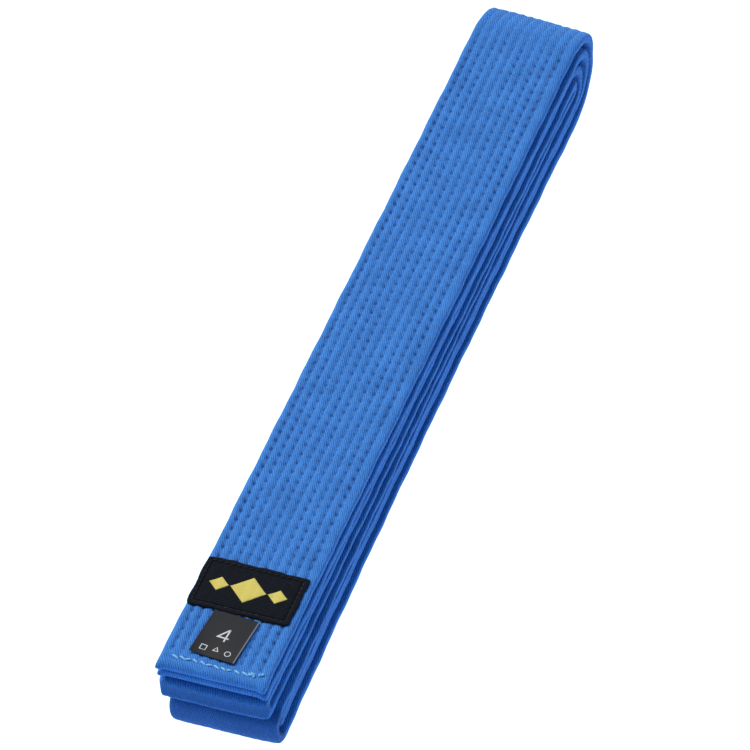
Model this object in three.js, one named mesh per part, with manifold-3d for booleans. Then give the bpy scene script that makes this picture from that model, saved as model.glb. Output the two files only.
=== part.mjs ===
// A judo and karate belt, folded in half three times into a flat bundle of eight runs.
//
// The belt is one long quilted strap: a cotton cover sewn around a soft core. It is cut here into runs and
// folds, because the free ends and the middle pair of runs lift off the bundle. Runs are numbered from the
// top, 1 to 8. Along the strap they follow each other as 1, 8, 5, 4, 3, 6, 7, 2: the far folds join 1-8,
// 2-7, 3-6 and 4-5, and the near folds join 8-5, 7-6 and 4-3. Runs 1 and 2 end in the belt's two hemmed ends.
//
// Frame: millimetres, +X across the belt, +Y along the runs towards the far folds, +Z up. The origin is the
// middle of the bundle on the surface that it lies on.
import * as THREE from "three";
import { mergeVertices } from "three/addons/utils/BufferGeometryUtils.js";
import Module from "manifold-3d";

const wasm = await Module();
wasm.setup();

// ---- Driving dimensions, in millimetres ----

const BELT_WIDTH = 40;
const BELT_THICKNESS = 4.4;
const FOLDED_LENGTH = 347.5;
const RUN_COUNT = 8;
const RUN_GAP = 0.55; // air between one run and the next
const EDGE_CHAMFER = 1.2; // stands for the rounded edges of the strap
const COVER_WALL = 1.0; // the cover's plies on each side of the core
const CORE_CLEARANCE = 0.3;
const PIECE_GAP = 0.3; // between a run and the fold that it leads into
const LOOP_SLACK = 1.2; // each nested fold stands this much further in than a snug one

const SECOND_END_SETBACK = 1.2; // how far the near ends stand behind the labelled end
const MIDDLE_FOLD_SETBACK = 0.5;
const LOWER_FOLD_SETBACK = 2.7;

const HEM_DEPTH = 7.0; // the turned-in cloth that closes each end of the cover
const HEM_STITCH_INSET = 4.0;
const HEM_STITCH_WIDTH = 1.0;
const HEM_STITCH_SIDE_MARGIN = 2.5;

const QUILT_ROWS = 10;
const QUILT_LEFT_MARGIN = 3.3; // from the belt's edges to its first and last rows
const QUILT_RIGHT_MARGIN = 4.1;
const THREAD_WIDTH = 0.6;
const THREAD_HEIGHT = 0.25;
const LAY_GAP = 0.1; // between things that lie on each other

const LABEL_LENGTH = 22.8;
const LABEL_THICKNESS = 0.5;
const LABEL_LEFT_MARGIN = 0.4;
const LABEL_RIGHT_MARGIN = 1.8;
const LABEL_FROM_END = 28.2;
const LABEL_STITCH_INSET = 1.6;

const EMBLEM_SIDE_MARGIN = 2.3; // from the border thread to the outer lozenges' points
const EMBLEM_GAP = 0.6;
const EMBLEM_LARGE_HALF_LENGTH = 6.0;
const EMBLEM_SMALL_HALF_LENGTH = 3.2;
const EMBLEM_SMALL_HALF_WIDTH = 3.6;

const TAG_WIDTH = 17;
const TAG_LENGTH = 21;
const TAG_THICKNESS = 0.25;
const TAG_TUCK = 5; // the strip of tag caught under the label
const TAG_LEFT_OF_LABEL = 0.4; // from the label's middle to the tag's
const PRINT_HEIGHT = 0.1;
const NUMERAL_LENGTH = 5.9;
const NUMERAL_WIDTH = 4.2;
const NUMERAL_STROKE = 0.75;
const NUMERAL_FROM_LABEL = 10.2; // to the numeral's middle
const MARK_SIZE = 2.4;
const TRIANGLE_SIZE = 2.88; // across the circle through the triangle's corners
const MARK_PITCH = 4.6;
const MARK_STROKE = 0.4;
const MARKS_FROM_LABEL = 17.7;

const FAR_FOLD_STEPS = [16, 14, 12, 10];
const NEAR_FOLD_STEPS = 10;

// ---- Sizes that follow ----

const RUN_PITCH = BELT_THICKNESS + RUN_GAP;
const NEAR_Y = -FOLDED_LENGTH / 2;
const OUTER_FOLD_RADIUS = (RUN_PITCH * (RUN_COUNT - 1)) / 2;
const FIRST_FOLD_Y = FOLDED_LENGTH / 2 - OUTER_FOLD_RADIUS - BELT_THICKNESS / 2;
const CORE_INSET = COVER_WALL + CORE_CLEARANCE;
const OCTAGON_SHARE = 2 - Math.SQRT2; // what a 45 degree chamfer loses for each millimetre of inset

const TOP_Z = runZ(1) + BELT_THICKNESS / 2;
const THREAD_Z = TOP_Z + LAY_GAP;
const TAG_Z = THREAD_Z + THREAD_HEIGHT + LAY_GAP;
const LABEL_Z = TAG_Z + TAG_THICKNESS + LAY_GAP;
const LABEL_TRIM_Z = LABEL_Z + LABEL_THICKNESS + LAY_GAP;
const PRINT_Z = TAG_Z + TAG_THICKNESS + LAY_GAP;
const LABEL_NEAR_Y = NEAR_Y + LABEL_FROM_END;
const LABEL_WIDTH = BELT_WIDTH - LABEL_LEFT_MARGIN - LABEL_RIGHT_MARGIN;
const LABEL_CENTRE_X = (LABEL_LEFT_MARGIN - LABEL_RIGHT_MARGIN) / 2;
const LABEL_FRAME_WIDTH = LABEL_WIDTH - 2 * LABEL_STITCH_INSET;
const LABEL_FRAME_LENGTH = LABEL_LENGTH - 2 * LABEL_STITCH_INSET;
const EMBLEM_HALF_WIDTH = LABEL_FRAME_WIDTH / 2 - THREAD_WIDTH - EMBLEM_SIDE_MARGIN;
const EMBLEM_LARGE_HALF_WIDTH = EMBLEM_HALF_WIDTH - 2 * EMBLEM_SMALL_HALF_WIDTH - EMBLEM_GAP;
const TAG_CENTRE_X = LABEL_CENTRE_X - TAG_LEFT_OF_LABEL;
const QUILT_ROW_PITCH = (BELT_WIDTH - QUILT_LEFT_MARGIN - QUILT_RIGHT_MARGIN) / (QUILT_ROWS - 1);

// ---- Materials ----

const COVER = new THREE.MeshStandardMaterial({ color: 0x2f63b8, roughness: 0.85, metalness: 0 });
const CORE = new THREE.MeshStandardMaterial({ color: 0xe7e2d4, roughness: 0.95, metalness: 0 });
const QUILT_THREAD = new THREE.MeshStandardMaterial({ color: 0x2a5aa8, roughness: 0.7, metalness: 0 });
const HEM_THREAD = new THREE.MeshStandardMaterial({ color: 0x6fb0ec, roughness: 0.6, metalness: 0 });
const LABEL_WEAVE = new THREE.MeshStandardMaterial({ color: 0x15171d, roughness: 0.8, metalness: 0 });
const LABEL_THREAD = new THREE.MeshStandardMaterial({ color: 0x23262e, roughness: 0.7, metalness: 0 });
const EMBLEM_THREAD = new THREE.MeshStandardMaterial({ color: 0xe6dc6a, roughness: 0.5, metalness: 0 });
const TAG_SATIN = new THREE.MeshStandardMaterial({ color: 0x24272d, roughness: 0.4, metalness: 0 });
const TAG_INK = new THREE.MeshStandardMaterial({ color: 0xf2f3f4, roughness: 0.6, metalness: 0 });

// ---- Helpers ----

// The height of a run's middle above the surface, run 1 on top.
function runZ(run) {
  return BELT_THICKNESS / 2 + (RUN_COUNT - run) * RUN_PITCH;
}

// The strap's cross-section, an octagon, made smaller all round by an inset.
function sectionPoints(inset) {
  const halfWidth = BELT_WIDTH / 2 - inset;
  const halfHeight = BELT_THICKNESS / 2 - inset;
  const chamfer = EDGE_CHAMFER - inset * OCTAGON_SHARE;
  return [
    new THREE.Vector2(halfWidth - chamfer, -halfHeight),
    new THREE.Vector2(halfWidth, chamfer - halfHeight),
    new THREE.Vector2(halfWidth, halfHeight - chamfer),
    new THREE.Vector2(halfWidth - chamfer, halfHeight),
    new THREE.Vector2(chamfer - halfWidth, halfHeight),
    new THREE.Vector2(-halfWidth, halfHeight - chamfer),
    new THREE.Vector2(-halfWidth, chamfer - halfHeight),
    new THREE.Vector2(chamfer - halfWidth, -halfHeight),
  ];
}

// The cover's section is a ring round the core's room.
function coverSection() {
  const shape = new THREE.Shape(sectionPoints(0));
  shape.holes.push(new THREE.Path(sectionPoints(COVER_WALL)));
  return shape;
}

function coreSection() {
  return new THREE.Shape(sectionPoints(CORE_INSET));
}

// A path of the strap in the YZ plane. The strap never twists, so its width always lies along X.
class StrapPath extends THREE.Curve {
  computeFrenetFrames(segments) {
    const frames = { tangents: [], normals: [], binormals: [] };
    for (let step = 0; step <= segments; step += 1) {
      const tangent = this.getTangentAt(step / segments);
      const across = new THREE.Vector3(1, 0, 0);
      frames.tangents.push(tangent);
      frames.normals.push(across);
      frames.binormals.push(new THREE.Vector3().crossVectors(tangent, across));
    }
    return frames;
  }
}

class StraightPath extends StrapPath {
  constructor(startY, endY, z) {
    super();
    this.startY = startY;
    this.endY = endY;
    this.z = z;
  }

  getPoint(t, target = new THREE.Vector3()) {
    return target.set(0, THREE.MathUtils.lerp(this.startY, this.endY, t), this.z);
  }

  getTangent(t, target = new THREE.Vector3()) {
    return target.set(0, 1, 0);
  }
}

// A half circle from the top of a fold to its bottom.
// direction is 1 for a fold that bulges to +Y and -1 for one that bulges to -Y.
class FoldPath extends StrapPath {
  constructor(fold, direction) {
    super();
    this.fold = fold;
    this.direction = direction;
  }

  getPoint(t, target = new THREE.Vector3()) {
    const angle = Math.PI * (0.5 - t);
    const y = this.fold.centreY + this.direction * this.fold.radius * Math.cos(angle);
    return target.set(0, y, this.fold.centreZ + this.fold.radius * Math.sin(angle));
  }

  getTangent(t, target = new THREE.Vector3()) {
    const angle = Math.PI * (0.5 - t);
    return target.set(0, this.direction * Math.sin(angle), -Math.cos(angle));
  }
}

function along(path, shape, steps) {
  return new THREE.ExtrudeGeometry(shape, { steps, extrudePath: path, bevelEnabled: false });
}

// A flat piece cut to a shape in the XY plane, lying on z = 0.
function flat(shape, height) {
  return new THREE.ExtrudeGeometry(shape, { depth: height, bevelEnabled: false, curveSegments: 8 });
}

function slab(width, length, height) {
  return new THREE.BoxGeometry(width, length, height).translate(0, 0, height / 2);
}

function toSolid(geometry) {
  const bare = geometry.clone();
  bare.deleteAttribute("normal");
  bare.deleteAttribute("uv");
  const merged = mergeVertices(bare, 1e-4);
  const vertProperties = new Float32Array(merged.attributes.position.array);
  const triVerts = new Uint32Array(merged.index.array);
  return new wasm.Manifold(new wasm.Mesh({ numProp: 3, vertProperties, triVerts }));
}

function toGeometry(solid) {
  const mesh = solid.getMesh();
  const geometry = new THREE.BufferGeometry();
  geometry.setAttribute("position", new THREE.BufferAttribute(mesh.vertProperties, 3));
  geometry.setIndex(new THREE.BufferAttribute(mesh.triVerts, 1));
  geometry.computeVertexNormals();
  return geometry;
}

function addMesh(group, name, geometry, material, x = 0, y = 0, z = 0) {
  const mesh = new THREE.Mesh(geometry, material);
  mesh.name = name;
  mesh.position.set(x, y, z);
  group.add(mesh);
}

// ---- Where each run starts and ends ----

// The far fold that leaves run 1 to 4 from above, or meets run 5 to 8 from below.
function farFold(run) {
  const upper = Math.min(run, RUN_COUNT + 1 - run);
  return {
    centreY: FIRST_FOLD_Y - (upper - 1) * LOOP_SLACK,
    centreZ: (runZ(upper) + runZ(RUN_COUNT + 1 - upper)) / 2,
    radius: (runZ(upper) - runZ(RUN_COUNT + 1 - upper)) / 2,
  };
}

// A near fold joins two runs, and its outside stands a setback behind the labelled end.
function nearFold(upper, lower, setback) {
  const radius = (runZ(upper) - runZ(lower)) / 2;
  return {
    centreY: NEAR_Y + setback + radius + BELT_THICKNESS / 2,
    centreZ: (runZ(upper) + runZ(lower)) / 2,
    radius,
  };
}

const MIDDLE_FOLD = nearFold(3, 4, MIDDLE_FOLD_SETBACK);
const LOWER_OUTER_FOLD = nearFold(5, 8, LOWER_FOLD_SETBACK);
const LOWER_INNER_FOLD = nearFold(6, 7, LOWER_FOLD_SETBACK + RUN_PITCH + LOOP_SLACK);

const RUN_START_Y = {
  1: NEAR_Y,
  2: NEAR_Y + SECOND_END_SETBACK,
  3: MIDDLE_FOLD.centreY + PIECE_GAP,
  4: MIDDLE_FOLD.centreY + PIECE_GAP,
  5: LOWER_OUTER_FOLD.centreY + PIECE_GAP,
  6: LOWER_INNER_FOLD.centreY + PIECE_GAP,
  7: LOWER_INNER_FOLD.centreY + PIECE_GAP,
  8: LOWER_OUTER_FOLD.centreY + PIECE_GAP,
};

function runEndY(run) {
  return farFold(run).centreY - PIECE_GAP;
}

// ---- Sub-parts ----

// A run between two folds: an open sleeve of cover with a length of core in it.
function addMiddleRun(group, run) {
  const path = new StraightPath(RUN_START_Y[run], runEndY(run), runZ(run));
  addMesh(group, `cover_run_${run}`, along(path, coverSection(), 1), COVER);
  addMesh(group, `core_run_${run}`, along(path, coreSection(), 1), CORE);
}

// A run with a free end: the cover is closed by its hem, and the core stops behind the hem.
function addEndRun(group, run) {
  const startY = RUN_START_Y[run];
  const endY = runEndY(run);
  const z = runZ(run);
  const outsidePath = new StraightPath(startY, endY, z);
  const roomPath = new StraightPath(startY + HEM_DEPTH, endY + HEM_DEPTH, z);
  const corePath = new StraightPath(startY + HEM_DEPTH + CORE_CLEARANCE, endY, z);
  const outside = toSolid(along(outsidePath, new THREE.Shape(sectionPoints(0)), 1));
  const room = toSolid(along(roomPath, new THREE.Shape(sectionPoints(COVER_WALL)), 1));
  addMesh(group, `cover_run_${run}`, toGeometry(outside.subtract(room)), COVER);
  addMesh(group, `core_run_${run}`, along(corePath, coreSection(), 1), CORE);
}

function addFold(group, name, fold, direction, steps) {
  const path = new FoldPath(fold, direction);
  addMesh(group, `cover_${name}`, along(path, coverSection(), steps), COVER);
  addMesh(group, `core_${name}`, along(path, coreSection(), steps), CORE);
}

// The line of thread that holds a hem shut, across the belt near its end.
function addHemStitching(group, run) {
  const width = BELT_WIDTH - 2 * (EDGE_CHAMFER + HEM_STITCH_SIDE_MARGIN);
  const y = RUN_START_Y[run] + HEM_STITCH_INSET;
  const z = runZ(run) + BELT_THICKNESS / 2 + LAY_GAP;
  addMesh(group, `hem_stitching_${run}`, slab(width, HEM_STITCH_WIDTH, THREAD_HEIGHT), HEM_THREAD, 0, y, z);
}

// The quilting threads along the top of the labelled run, from the hem to the far fold.
function addQuiltRows(group) {
  const startY = NEAR_Y + HEM_DEPTH;
  const length = runEndY(1) - startY;
  for (let row = 0; row < QUILT_ROWS; row += 1) {
    const x = -BELT_WIDTH / 2 + QUILT_LEFT_MARGIN + row * QUILT_ROW_PITCH;
    const name = `quilting_thread_${String(row + 1).padStart(2, "0")}`;
    const thread = slab(THREAD_WIDTH, length, THREAD_HEIGHT);
    addMesh(group, name, thread, QUILT_THREAD, x, startY + length / 2, THREAD_Z);
  }
}

function rectangle(width, length) {
  return [
    new THREE.Vector2(-width / 2, -length / 2),
    new THREE.Vector2(width / 2, -length / 2),
    new THREE.Vector2(width / 2, length / 2),
    new THREE.Vector2(-width / 2, length / 2),
  ];
}

// A band of even width round a rectangle.
function frameShape(width, length, stroke) {
  const shape = new THREE.Shape(rectangle(width, length));
  shape.holes.push(new THREE.Path(rectangle(width - 2 * stroke, length - 2 * stroke)));
  return shape;
}

function lozengeShape(halfWidth, halfLength) {
  return new THREE.Shape([
    new THREE.Vector2(0, -halfLength),
    new THREE.Vector2(halfWidth, 0),
    new THREE.Vector2(0, halfLength),
    new THREE.Vector2(-halfWidth, 0),
  ]);
}

// The woven label, the thread round its border and a plain motif of three lozenges.
function addLabel(group) {
  const centreY = LABEL_NEAR_Y + LABEL_LENGTH / 2;
  const label = slab(LABEL_WIDTH, LABEL_LENGTH, LABEL_THICKNESS);
  addMesh(group, "woven_label", label, LABEL_WEAVE, LABEL_CENTRE_X, centreY, LABEL_Z);
  const stitching = flat(frameShape(LABEL_FRAME_WIDTH, LABEL_FRAME_LENGTH, THREAD_WIDTH), THREAD_HEIGHT);
  addMesh(group, "label_stitching", stitching, LABEL_THREAD, LABEL_CENTRE_X, centreY, LABEL_TRIM_Z);
  const large = lozengeShape(EMBLEM_LARGE_HALF_WIDTH, EMBLEM_LARGE_HALF_LENGTH);
  const small = lozengeShape(EMBLEM_SMALL_HALF_WIDTH, EMBLEM_SMALL_HALF_LENGTH);
  const sideStep = EMBLEM_HALF_WIDTH - EMBLEM_SMALL_HALF_WIDTH;
  const lozenges = [
    ["emblem_lozenge_left", small, -sideStep],
    ["emblem_lozenge_middle", large, 0],
    ["emblem_lozenge_right", small, sideStep],
  ];
  for (const [name, shape, offset] of lozenges) {
    const x = LABEL_CENTRE_X + offset;
    addMesh(group, name, flat(shape, THREAD_HEIGHT), EMBLEM_THREAD, x, centreY, LABEL_TRIM_Z);
  }
}

// The strip of the size tag that the label's seam holds down.
function addTagTuck(group) {
  const tuck = slab(TAG_WIDTH, TAG_TUCK, TAG_THICKNESS);
  addMesh(group, "size_tag_tuck", tuck, TAG_SATIN, TAG_CENTRE_X, LABEL_NEAR_Y + TAG_TUCK / 2, TAG_Z);
}

// A plain figure four: a slanting stroke, a bar and an upright, drawn round a triangular opening.
function numeralShape() {
  const w = NUMERAL_WIDTH / 2;
  const h = NUMERAL_LENGTH / 2;
  const s = NUMERAL_STROKE;
  const nick = 0.1 * s; // keeps the opening's corners off the lines of the outline
  const upright = w - 1.6 * s; // the upright's left side
  const bar = -h / 3; // the bar's upper side
  const shape = new THREE.Shape([
    new THREE.Vector2(upright, -h),
    new THREE.Vector2(upright + s, -h),
    new THREE.Vector2(upright + s, bar - s),
    new THREE.Vector2(w, bar - s),
    new THREE.Vector2(w, bar),
    new THREE.Vector2(upright + s, bar),
    new THREE.Vector2(upright + s, h),
    new THREE.Vector2(upright, h),
    new THREE.Vector2(-w, bar),
    new THREE.Vector2(-w, bar - s),
    new THREE.Vector2(upright, bar - s),
  ]);
  const slope = (h - bar) / (upright + w);
  const open = 1.4 * s; // keeps the slanting stroke about as wide as the others
  shape.holes.push(
    new THREE.Path([
      new THREE.Vector2(upright - nick, bar + nick),
      new THREE.Vector2(upright - nick, h - open * slope),
      new THREE.Vector2(open - w, bar + nick),
    ]),
  );
  return shape;
}

function ringShape(size, stroke) {
  const shape = new THREE.Shape();
  shape.absarc(0, 0, size / 2, 0, 2 * Math.PI, false);
  const hole = new THREE.Path();
  hole.absarc(0, 0, size / 2 - stroke, 0, 2 * Math.PI, true);
  shape.holes.push(hole);
  return shape;
}

function triangleFrameShape(size, stroke) {
  const corners = (radius) =>
    [90, 210, 330].map((degrees) => {
      const angle = THREE.MathUtils.degToRad(degrees);
      return new THREE.Vector2(radius * Math.cos(angle), radius * Math.sin(angle));
    });
  const shape = new THREE.Shape(corners(size / 2));
  shape.holes.push(new THREE.Path(corners(size / 2 - 2 * stroke)));
  return shape;
}

// The tag's free flap, with its size numeral and three plain care marks in ink.
function addTag(group) {
  const farY = LABEL_NEAR_Y - PIECE_GAP;
  const flap = slab(TAG_WIDTH, TAG_LENGTH, TAG_THICKNESS);
  addMesh(group, "size_tag", flap, TAG_SATIN, TAG_CENTRE_X, farY - TAG_LENGTH / 2, TAG_Z);
  const numeral = flat(numeralShape(), PRINT_HEIGHT);
  addMesh(group, "size_numeral", numeral, TAG_INK, TAG_CENTRE_X, farY - NUMERAL_FROM_LABEL, PRINT_Z);
  const marks = [
    ["care_mark_square", frameShape(MARK_SIZE, MARK_SIZE, MARK_STROKE)],
    ["care_mark_triangle", triangleFrameShape(TRIANGLE_SIZE, MARK_STROKE)],
    ["care_mark_ring", ringShape(MARK_SIZE, MARK_STROKE)],
  ];
  marks.forEach(([name, shape], index) => {
    const x = TAG_CENTRE_X + (index - 1) * MARK_PITCH;
    addMesh(group, name, flat(shape, PRINT_HEIGHT), TAG_INK, x, farY - MARKS_FROM_LABEL, PRINT_Z);
  });
}

// ---- The belt ----

const belt = new THREE.Group();
const topEnd = new THREE.Group();
const tagFlap = new THREE.Group();
const secondEnd = new THREE.Group();
const middlePair = new THREE.Group();
belt.add(topEnd, secondEnd, middlePair);
topEnd.add(tagFlap);

addEndRun(topEnd, 1);
addHemStitching(topEnd, 1);
addQuiltRows(topEnd);
addLabel(topEnd);
addTagTuck(topEnd);
addTag(tagFlap);

addEndRun(secondEnd, 2);
addHemStitching(secondEnd, 2);

addMiddleRun(middlePair, 3);
addMiddleRun(middlePair, 4);
addFold(middlePair, "near_fold_middle", MIDDLE_FOLD, -1, NEAR_FOLD_STEPS);

for (let run = 5; run <= RUN_COUNT; run += 1) {
  addMiddleRun(belt, run);
}
for (let run = 1; run <= RUN_COUNT / 2; run += 1) {
  addFold(belt, `far_fold_${run}`, farFold(run), 1, FAR_FOLD_STEPS[run - 1]);
}
addFold(belt, "near_fold_outer", LOWER_OUTER_FOLD, -1, NEAR_FOLD_STEPS);
addFold(belt, "near_fold_inner", LOWER_INNER_FOLD, -1, NEAR_FOLD_STEPS);

export default belt;
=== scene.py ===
"""Looks of a folded martial arts belt: quilted cotton strap, woven label and size tag.

The belt is one quilted strap folded into eight runs, numbered from the top. All shapes are worked out in
millimetres, as functions of a place across the strap, a length along it and a height above its middle, and
are written to the meshes in metres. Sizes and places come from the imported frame.
"""

import logging
import math
from dataclasses import dataclass
from enum import Enum

import bpy
import numpy as np
from mathutils import Matrix, Vector


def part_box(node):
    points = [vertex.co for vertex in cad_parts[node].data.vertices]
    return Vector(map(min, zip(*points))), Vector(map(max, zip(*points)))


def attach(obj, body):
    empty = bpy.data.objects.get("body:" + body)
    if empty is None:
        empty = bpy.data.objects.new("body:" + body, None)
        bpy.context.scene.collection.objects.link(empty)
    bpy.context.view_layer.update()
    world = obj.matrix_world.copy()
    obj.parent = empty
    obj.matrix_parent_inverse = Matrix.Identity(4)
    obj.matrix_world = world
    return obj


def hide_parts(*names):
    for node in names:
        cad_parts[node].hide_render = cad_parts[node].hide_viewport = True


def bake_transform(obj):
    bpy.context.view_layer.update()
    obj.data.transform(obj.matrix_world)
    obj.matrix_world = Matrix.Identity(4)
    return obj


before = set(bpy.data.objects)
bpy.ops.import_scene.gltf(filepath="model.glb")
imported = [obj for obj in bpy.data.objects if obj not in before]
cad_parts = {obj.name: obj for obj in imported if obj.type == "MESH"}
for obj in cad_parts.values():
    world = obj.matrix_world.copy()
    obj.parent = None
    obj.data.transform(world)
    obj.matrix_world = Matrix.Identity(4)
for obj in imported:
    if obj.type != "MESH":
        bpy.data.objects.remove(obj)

LOG = logging.getLogger("belt")
MM = 0.001
UV_CM = 0.1  # one UV unit is ten millimetres of cloth
RUNS = 8


class Face(Enum):
    """The two faces of the strap: the one that carries the label, and its back."""

    FRONT = 1
    BACK = -1


class Turn(Enum):
    """The way the strap turns in a fold, seen from the +X side with +Y to the right."""

    CLOCKWISE = -1
    ANTICLOCKWISE = 1


# ---------------------------------------------------------------------------------------------------------
# Small numeric helpers
# ---------------------------------------------------------------------------------------------------------


def smooth(low: float, high: float, value: np.ndarray) -> np.ndarray:
    """A soft step: 0 below low, 1 above high, and 3t^2 - 2t^3 between them."""
    t = np.clip((value - low) / (high - low), 0.0, 1.0)
    return t * t * (3.0 - 2.0 * t)


def bell(value: np.ndarray, width: float) -> np.ndarray:
    """A bell curve, exp(-(value / width)^2)."""
    return np.exp(-((value / width) ** 2))


def box_mm(node: str) -> tuple[np.ndarray, np.ndarray]:
    """The lowest and highest corners of a CAD node at rest, in millimetres.

    Args:
        node: the CAD node's name.

    Returns:
        Two arrays of x, y, z.
    """
    low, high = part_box(node)
    return np.array(low) / MM, np.array(high) / MM


# ---------------------------------------------------------------------------------------------------------
# Meshes from arrays
# ---------------------------------------------------------------------------------------------------------


@dataclass
class Surface:
    """Vertices, four-cornered faces and per-corner UVs, gathered as arrays before they go into a mesh."""

    points: np.ndarray
    faces: np.ndarray
    uvs: np.ndarray
    # each point's painted-light mask that the finish reads: painted shade on the strap, a painted highlight
    # along the tag's edge
    depth: np.ndarray

    @staticmethod
    def join(parts: "list[Surface]") -> "Surface":
        """Several surfaces as one, with the face numbers moved along."""
        starts = np.cumsum([0] + [len(part.points) for part in parts[:-1]])
        return Surface(
            np.concatenate([part.points for part in parts]),
            np.concatenate([part.faces + start for part, start in zip(parts, starts)]),
            np.concatenate([part.uvs for part in parts]),
            np.concatenate([part.depth for part in parts]),
        )

    def volume(self) -> float:
        """Six times the signed volume, the sum of a . (b x c) over both triangles of each face."""
        a, b, c, d = (self.points[self.faces[:, corner]] for corner in range(4))
        first = np.einsum("ij,ij->i", a, np.cross(b, c)).sum()
        return float(first + np.einsum("ij,ij->i", a, np.cross(c, d)).sum())

    def to_object(self, name: str, material: bpy.types.Material) -> bpy.types.Object:
        """Writes the arrays into a new smooth-shaded mesh object, with its faces pointing outwards.

        Args:
            name: the piece's name.
            material: the finish of the whole piece.

        Returns:
            The new object, at the origin.
        """
        faces, uvs = self.faces, self.uvs
        if self.volume() < 0.0:
            faces, uvs = faces[:, ::-1], uvs[:, ::-1]
        mesh = bpy.data.meshes.new(name)
        count = len(faces)
        mesh.vertices.add(len(self.points))
        mesh.vertices.foreach_set("co", (self.points * MM).astype(np.float32).ravel())
        mesh.loops.add(4 * count)
        mesh.loops.foreach_set("vertex_index", faces.astype(np.int32).ravel())
        mesh.polygons.add(count)
        mesh.polygons.foreach_set("loop_start", np.arange(0, 4 * count, 4, dtype=np.int32))
        mesh.polygons.foreach_set("use_smooth", np.ones(count, dtype=bool))
        layer = mesh.uv_layers.new(name="cloth")
        layer.uv.foreach_set("vector", (uvs * UV_CM).astype(np.float32).ravel())
        # The painted-light mask, by which the finish paints shade or a highlight.
        attribute = mesh.attributes.new("painted_light_mask", "FLOAT", "POINT")
        attribute.data.foreach_set("value", self.depth.astype(np.float32))
        mesh.update(calc_edges=True)
        mesh.validate()
        mesh.materials.append(material)
        piece = bpy.data.objects.new(name, mesh)
        bpy.context.scene.collection.objects.link(piece)
        return piece


def tube(points: np.ndarray, around: np.ndarray, along: np.ndarray, depth: np.ndarray) -> Surface:
    """A closed tube from rings of points: quads between rings, and a strip of quads over each end.

    A ring has an even count of points, and its point j lies opposite point count - 1 - j, so that the end
    strips run from one side of the ring to the other.

    Args:
        points: rings by ring points by 3.
        around: the U of each ring point, with one more for the ring's first point again.
        along: the V of each ring.
        depth: each point's painted-light mask, rings by ring points, for painted shade or a painted
            highlight.

    Returns:
        The closed surface.
    """
    rings, count = points.shape[:2]
    ring, spot = np.meshgrid(np.arange(rings - 1), np.arange(count), indexing="ij")
    following = (spot + 1) % count
    faces = np.stack(
        [
            ring * count + spot,
            ring * count + following,
            (ring + 1) * count + following,
            (ring + 1) * count + spot,
        ],
        axis=-1,
    ).reshape(-1, 4)
    u = np.stack([around[spot], around[spot + 1], around[spot + 1], around[spot]], axis=-1)
    v = np.stack([along[ring], along[ring], along[ring + 1], along[ring + 1]], axis=-1)
    uvs = np.stack([u, v], axis=-1).reshape(-1, 4, 2)
    half = np.arange(count // 2 - 1)
    strip = np.stack([count - 1 - half, count - 2 - half, half + 1, half], axis=-1)
    cap_u = around[np.stack([half, half + 1, half + 1, half], axis=-1)]
    start_v = np.full(cap_u.shape, along[0])
    end_v = np.full(cap_u.shape, along[-1])
    start_uv = np.stack([cap_u, start_v], axis=-1)
    end_uv = np.stack([cap_u[:, ::-1], end_v], axis=-1)
    last = strip[:, ::-1] + (rings - 1) * count
    return Surface(
        points.reshape(-1, 3),
        np.concatenate([faces, strip, last]),
        np.concatenate([uvs, start_uv, end_uv]),
        depth.ravel(),
    )


def copies_of_tube(points: np.ndarray, radius: float, length: float) -> Surface:
    """Many thin round tubes as one surface, all with the same faces and UVs.

    Args:
        points: tubes by rings by ring points by 3.
        radius: of the tubes, for the U.
        length: of one tube, for the V.

    Returns:
        All the tubes, closed.
    """
    count, rings, sides = points.shape[:3]
    around = radius * 2.0 * math.pi * np.arange(sides + 1) / sides
    along = np.linspace(0.0, 1.0, rings) * length
    one = tube(points[0], around, along, np.zeros((rings, sides)))
    shift = (np.arange(count) * rings * sides)[:, None, None]
    faces = (one.faces[None] + shift).reshape(-1, 4)
    uvs = np.tile(one.uvs, (count, 1, 1))
    return Surface(points.reshape(-1, 3), faces, uvs, np.zeros(count * rings * sides))


def slab(
    top: np.ndarray, bottom: np.ndarray, across: np.ndarray, along: np.ndarray, mark: np.ndarray | None = None
) -> Surface:
    """A closed thin piece between two grids of points that have the same border.

    Each row of the piece is a ring, the top from left to right and the bottom back again, so it is a tube
    of flat rings whose end strips close the first and the last row.

    Args:
        top: rows by columns by 3.
        bottom: the same for the underside.
        across: the U of each column.
        along: the V of each row.
        mark: a value for each point of the top, 0 when left out, that the finish reads as a painted
            highlight.

    Returns:
        The closed surface.
    """
    rings = np.concatenate([top, bottom[:, ::-1]], axis=1)
    around = np.concatenate([across, across[::-1], across[:1]])
    values = np.zeros(rings.shape[:2])
    if mark is not None:
        values[:, : top.shape[1]] = mark
    return tube(rings, around, along, values)


# ---------------------------------------------------------------------------------------------------------
# How the folded strap lies
# ---------------------------------------------------------------------------------------------------------


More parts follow.
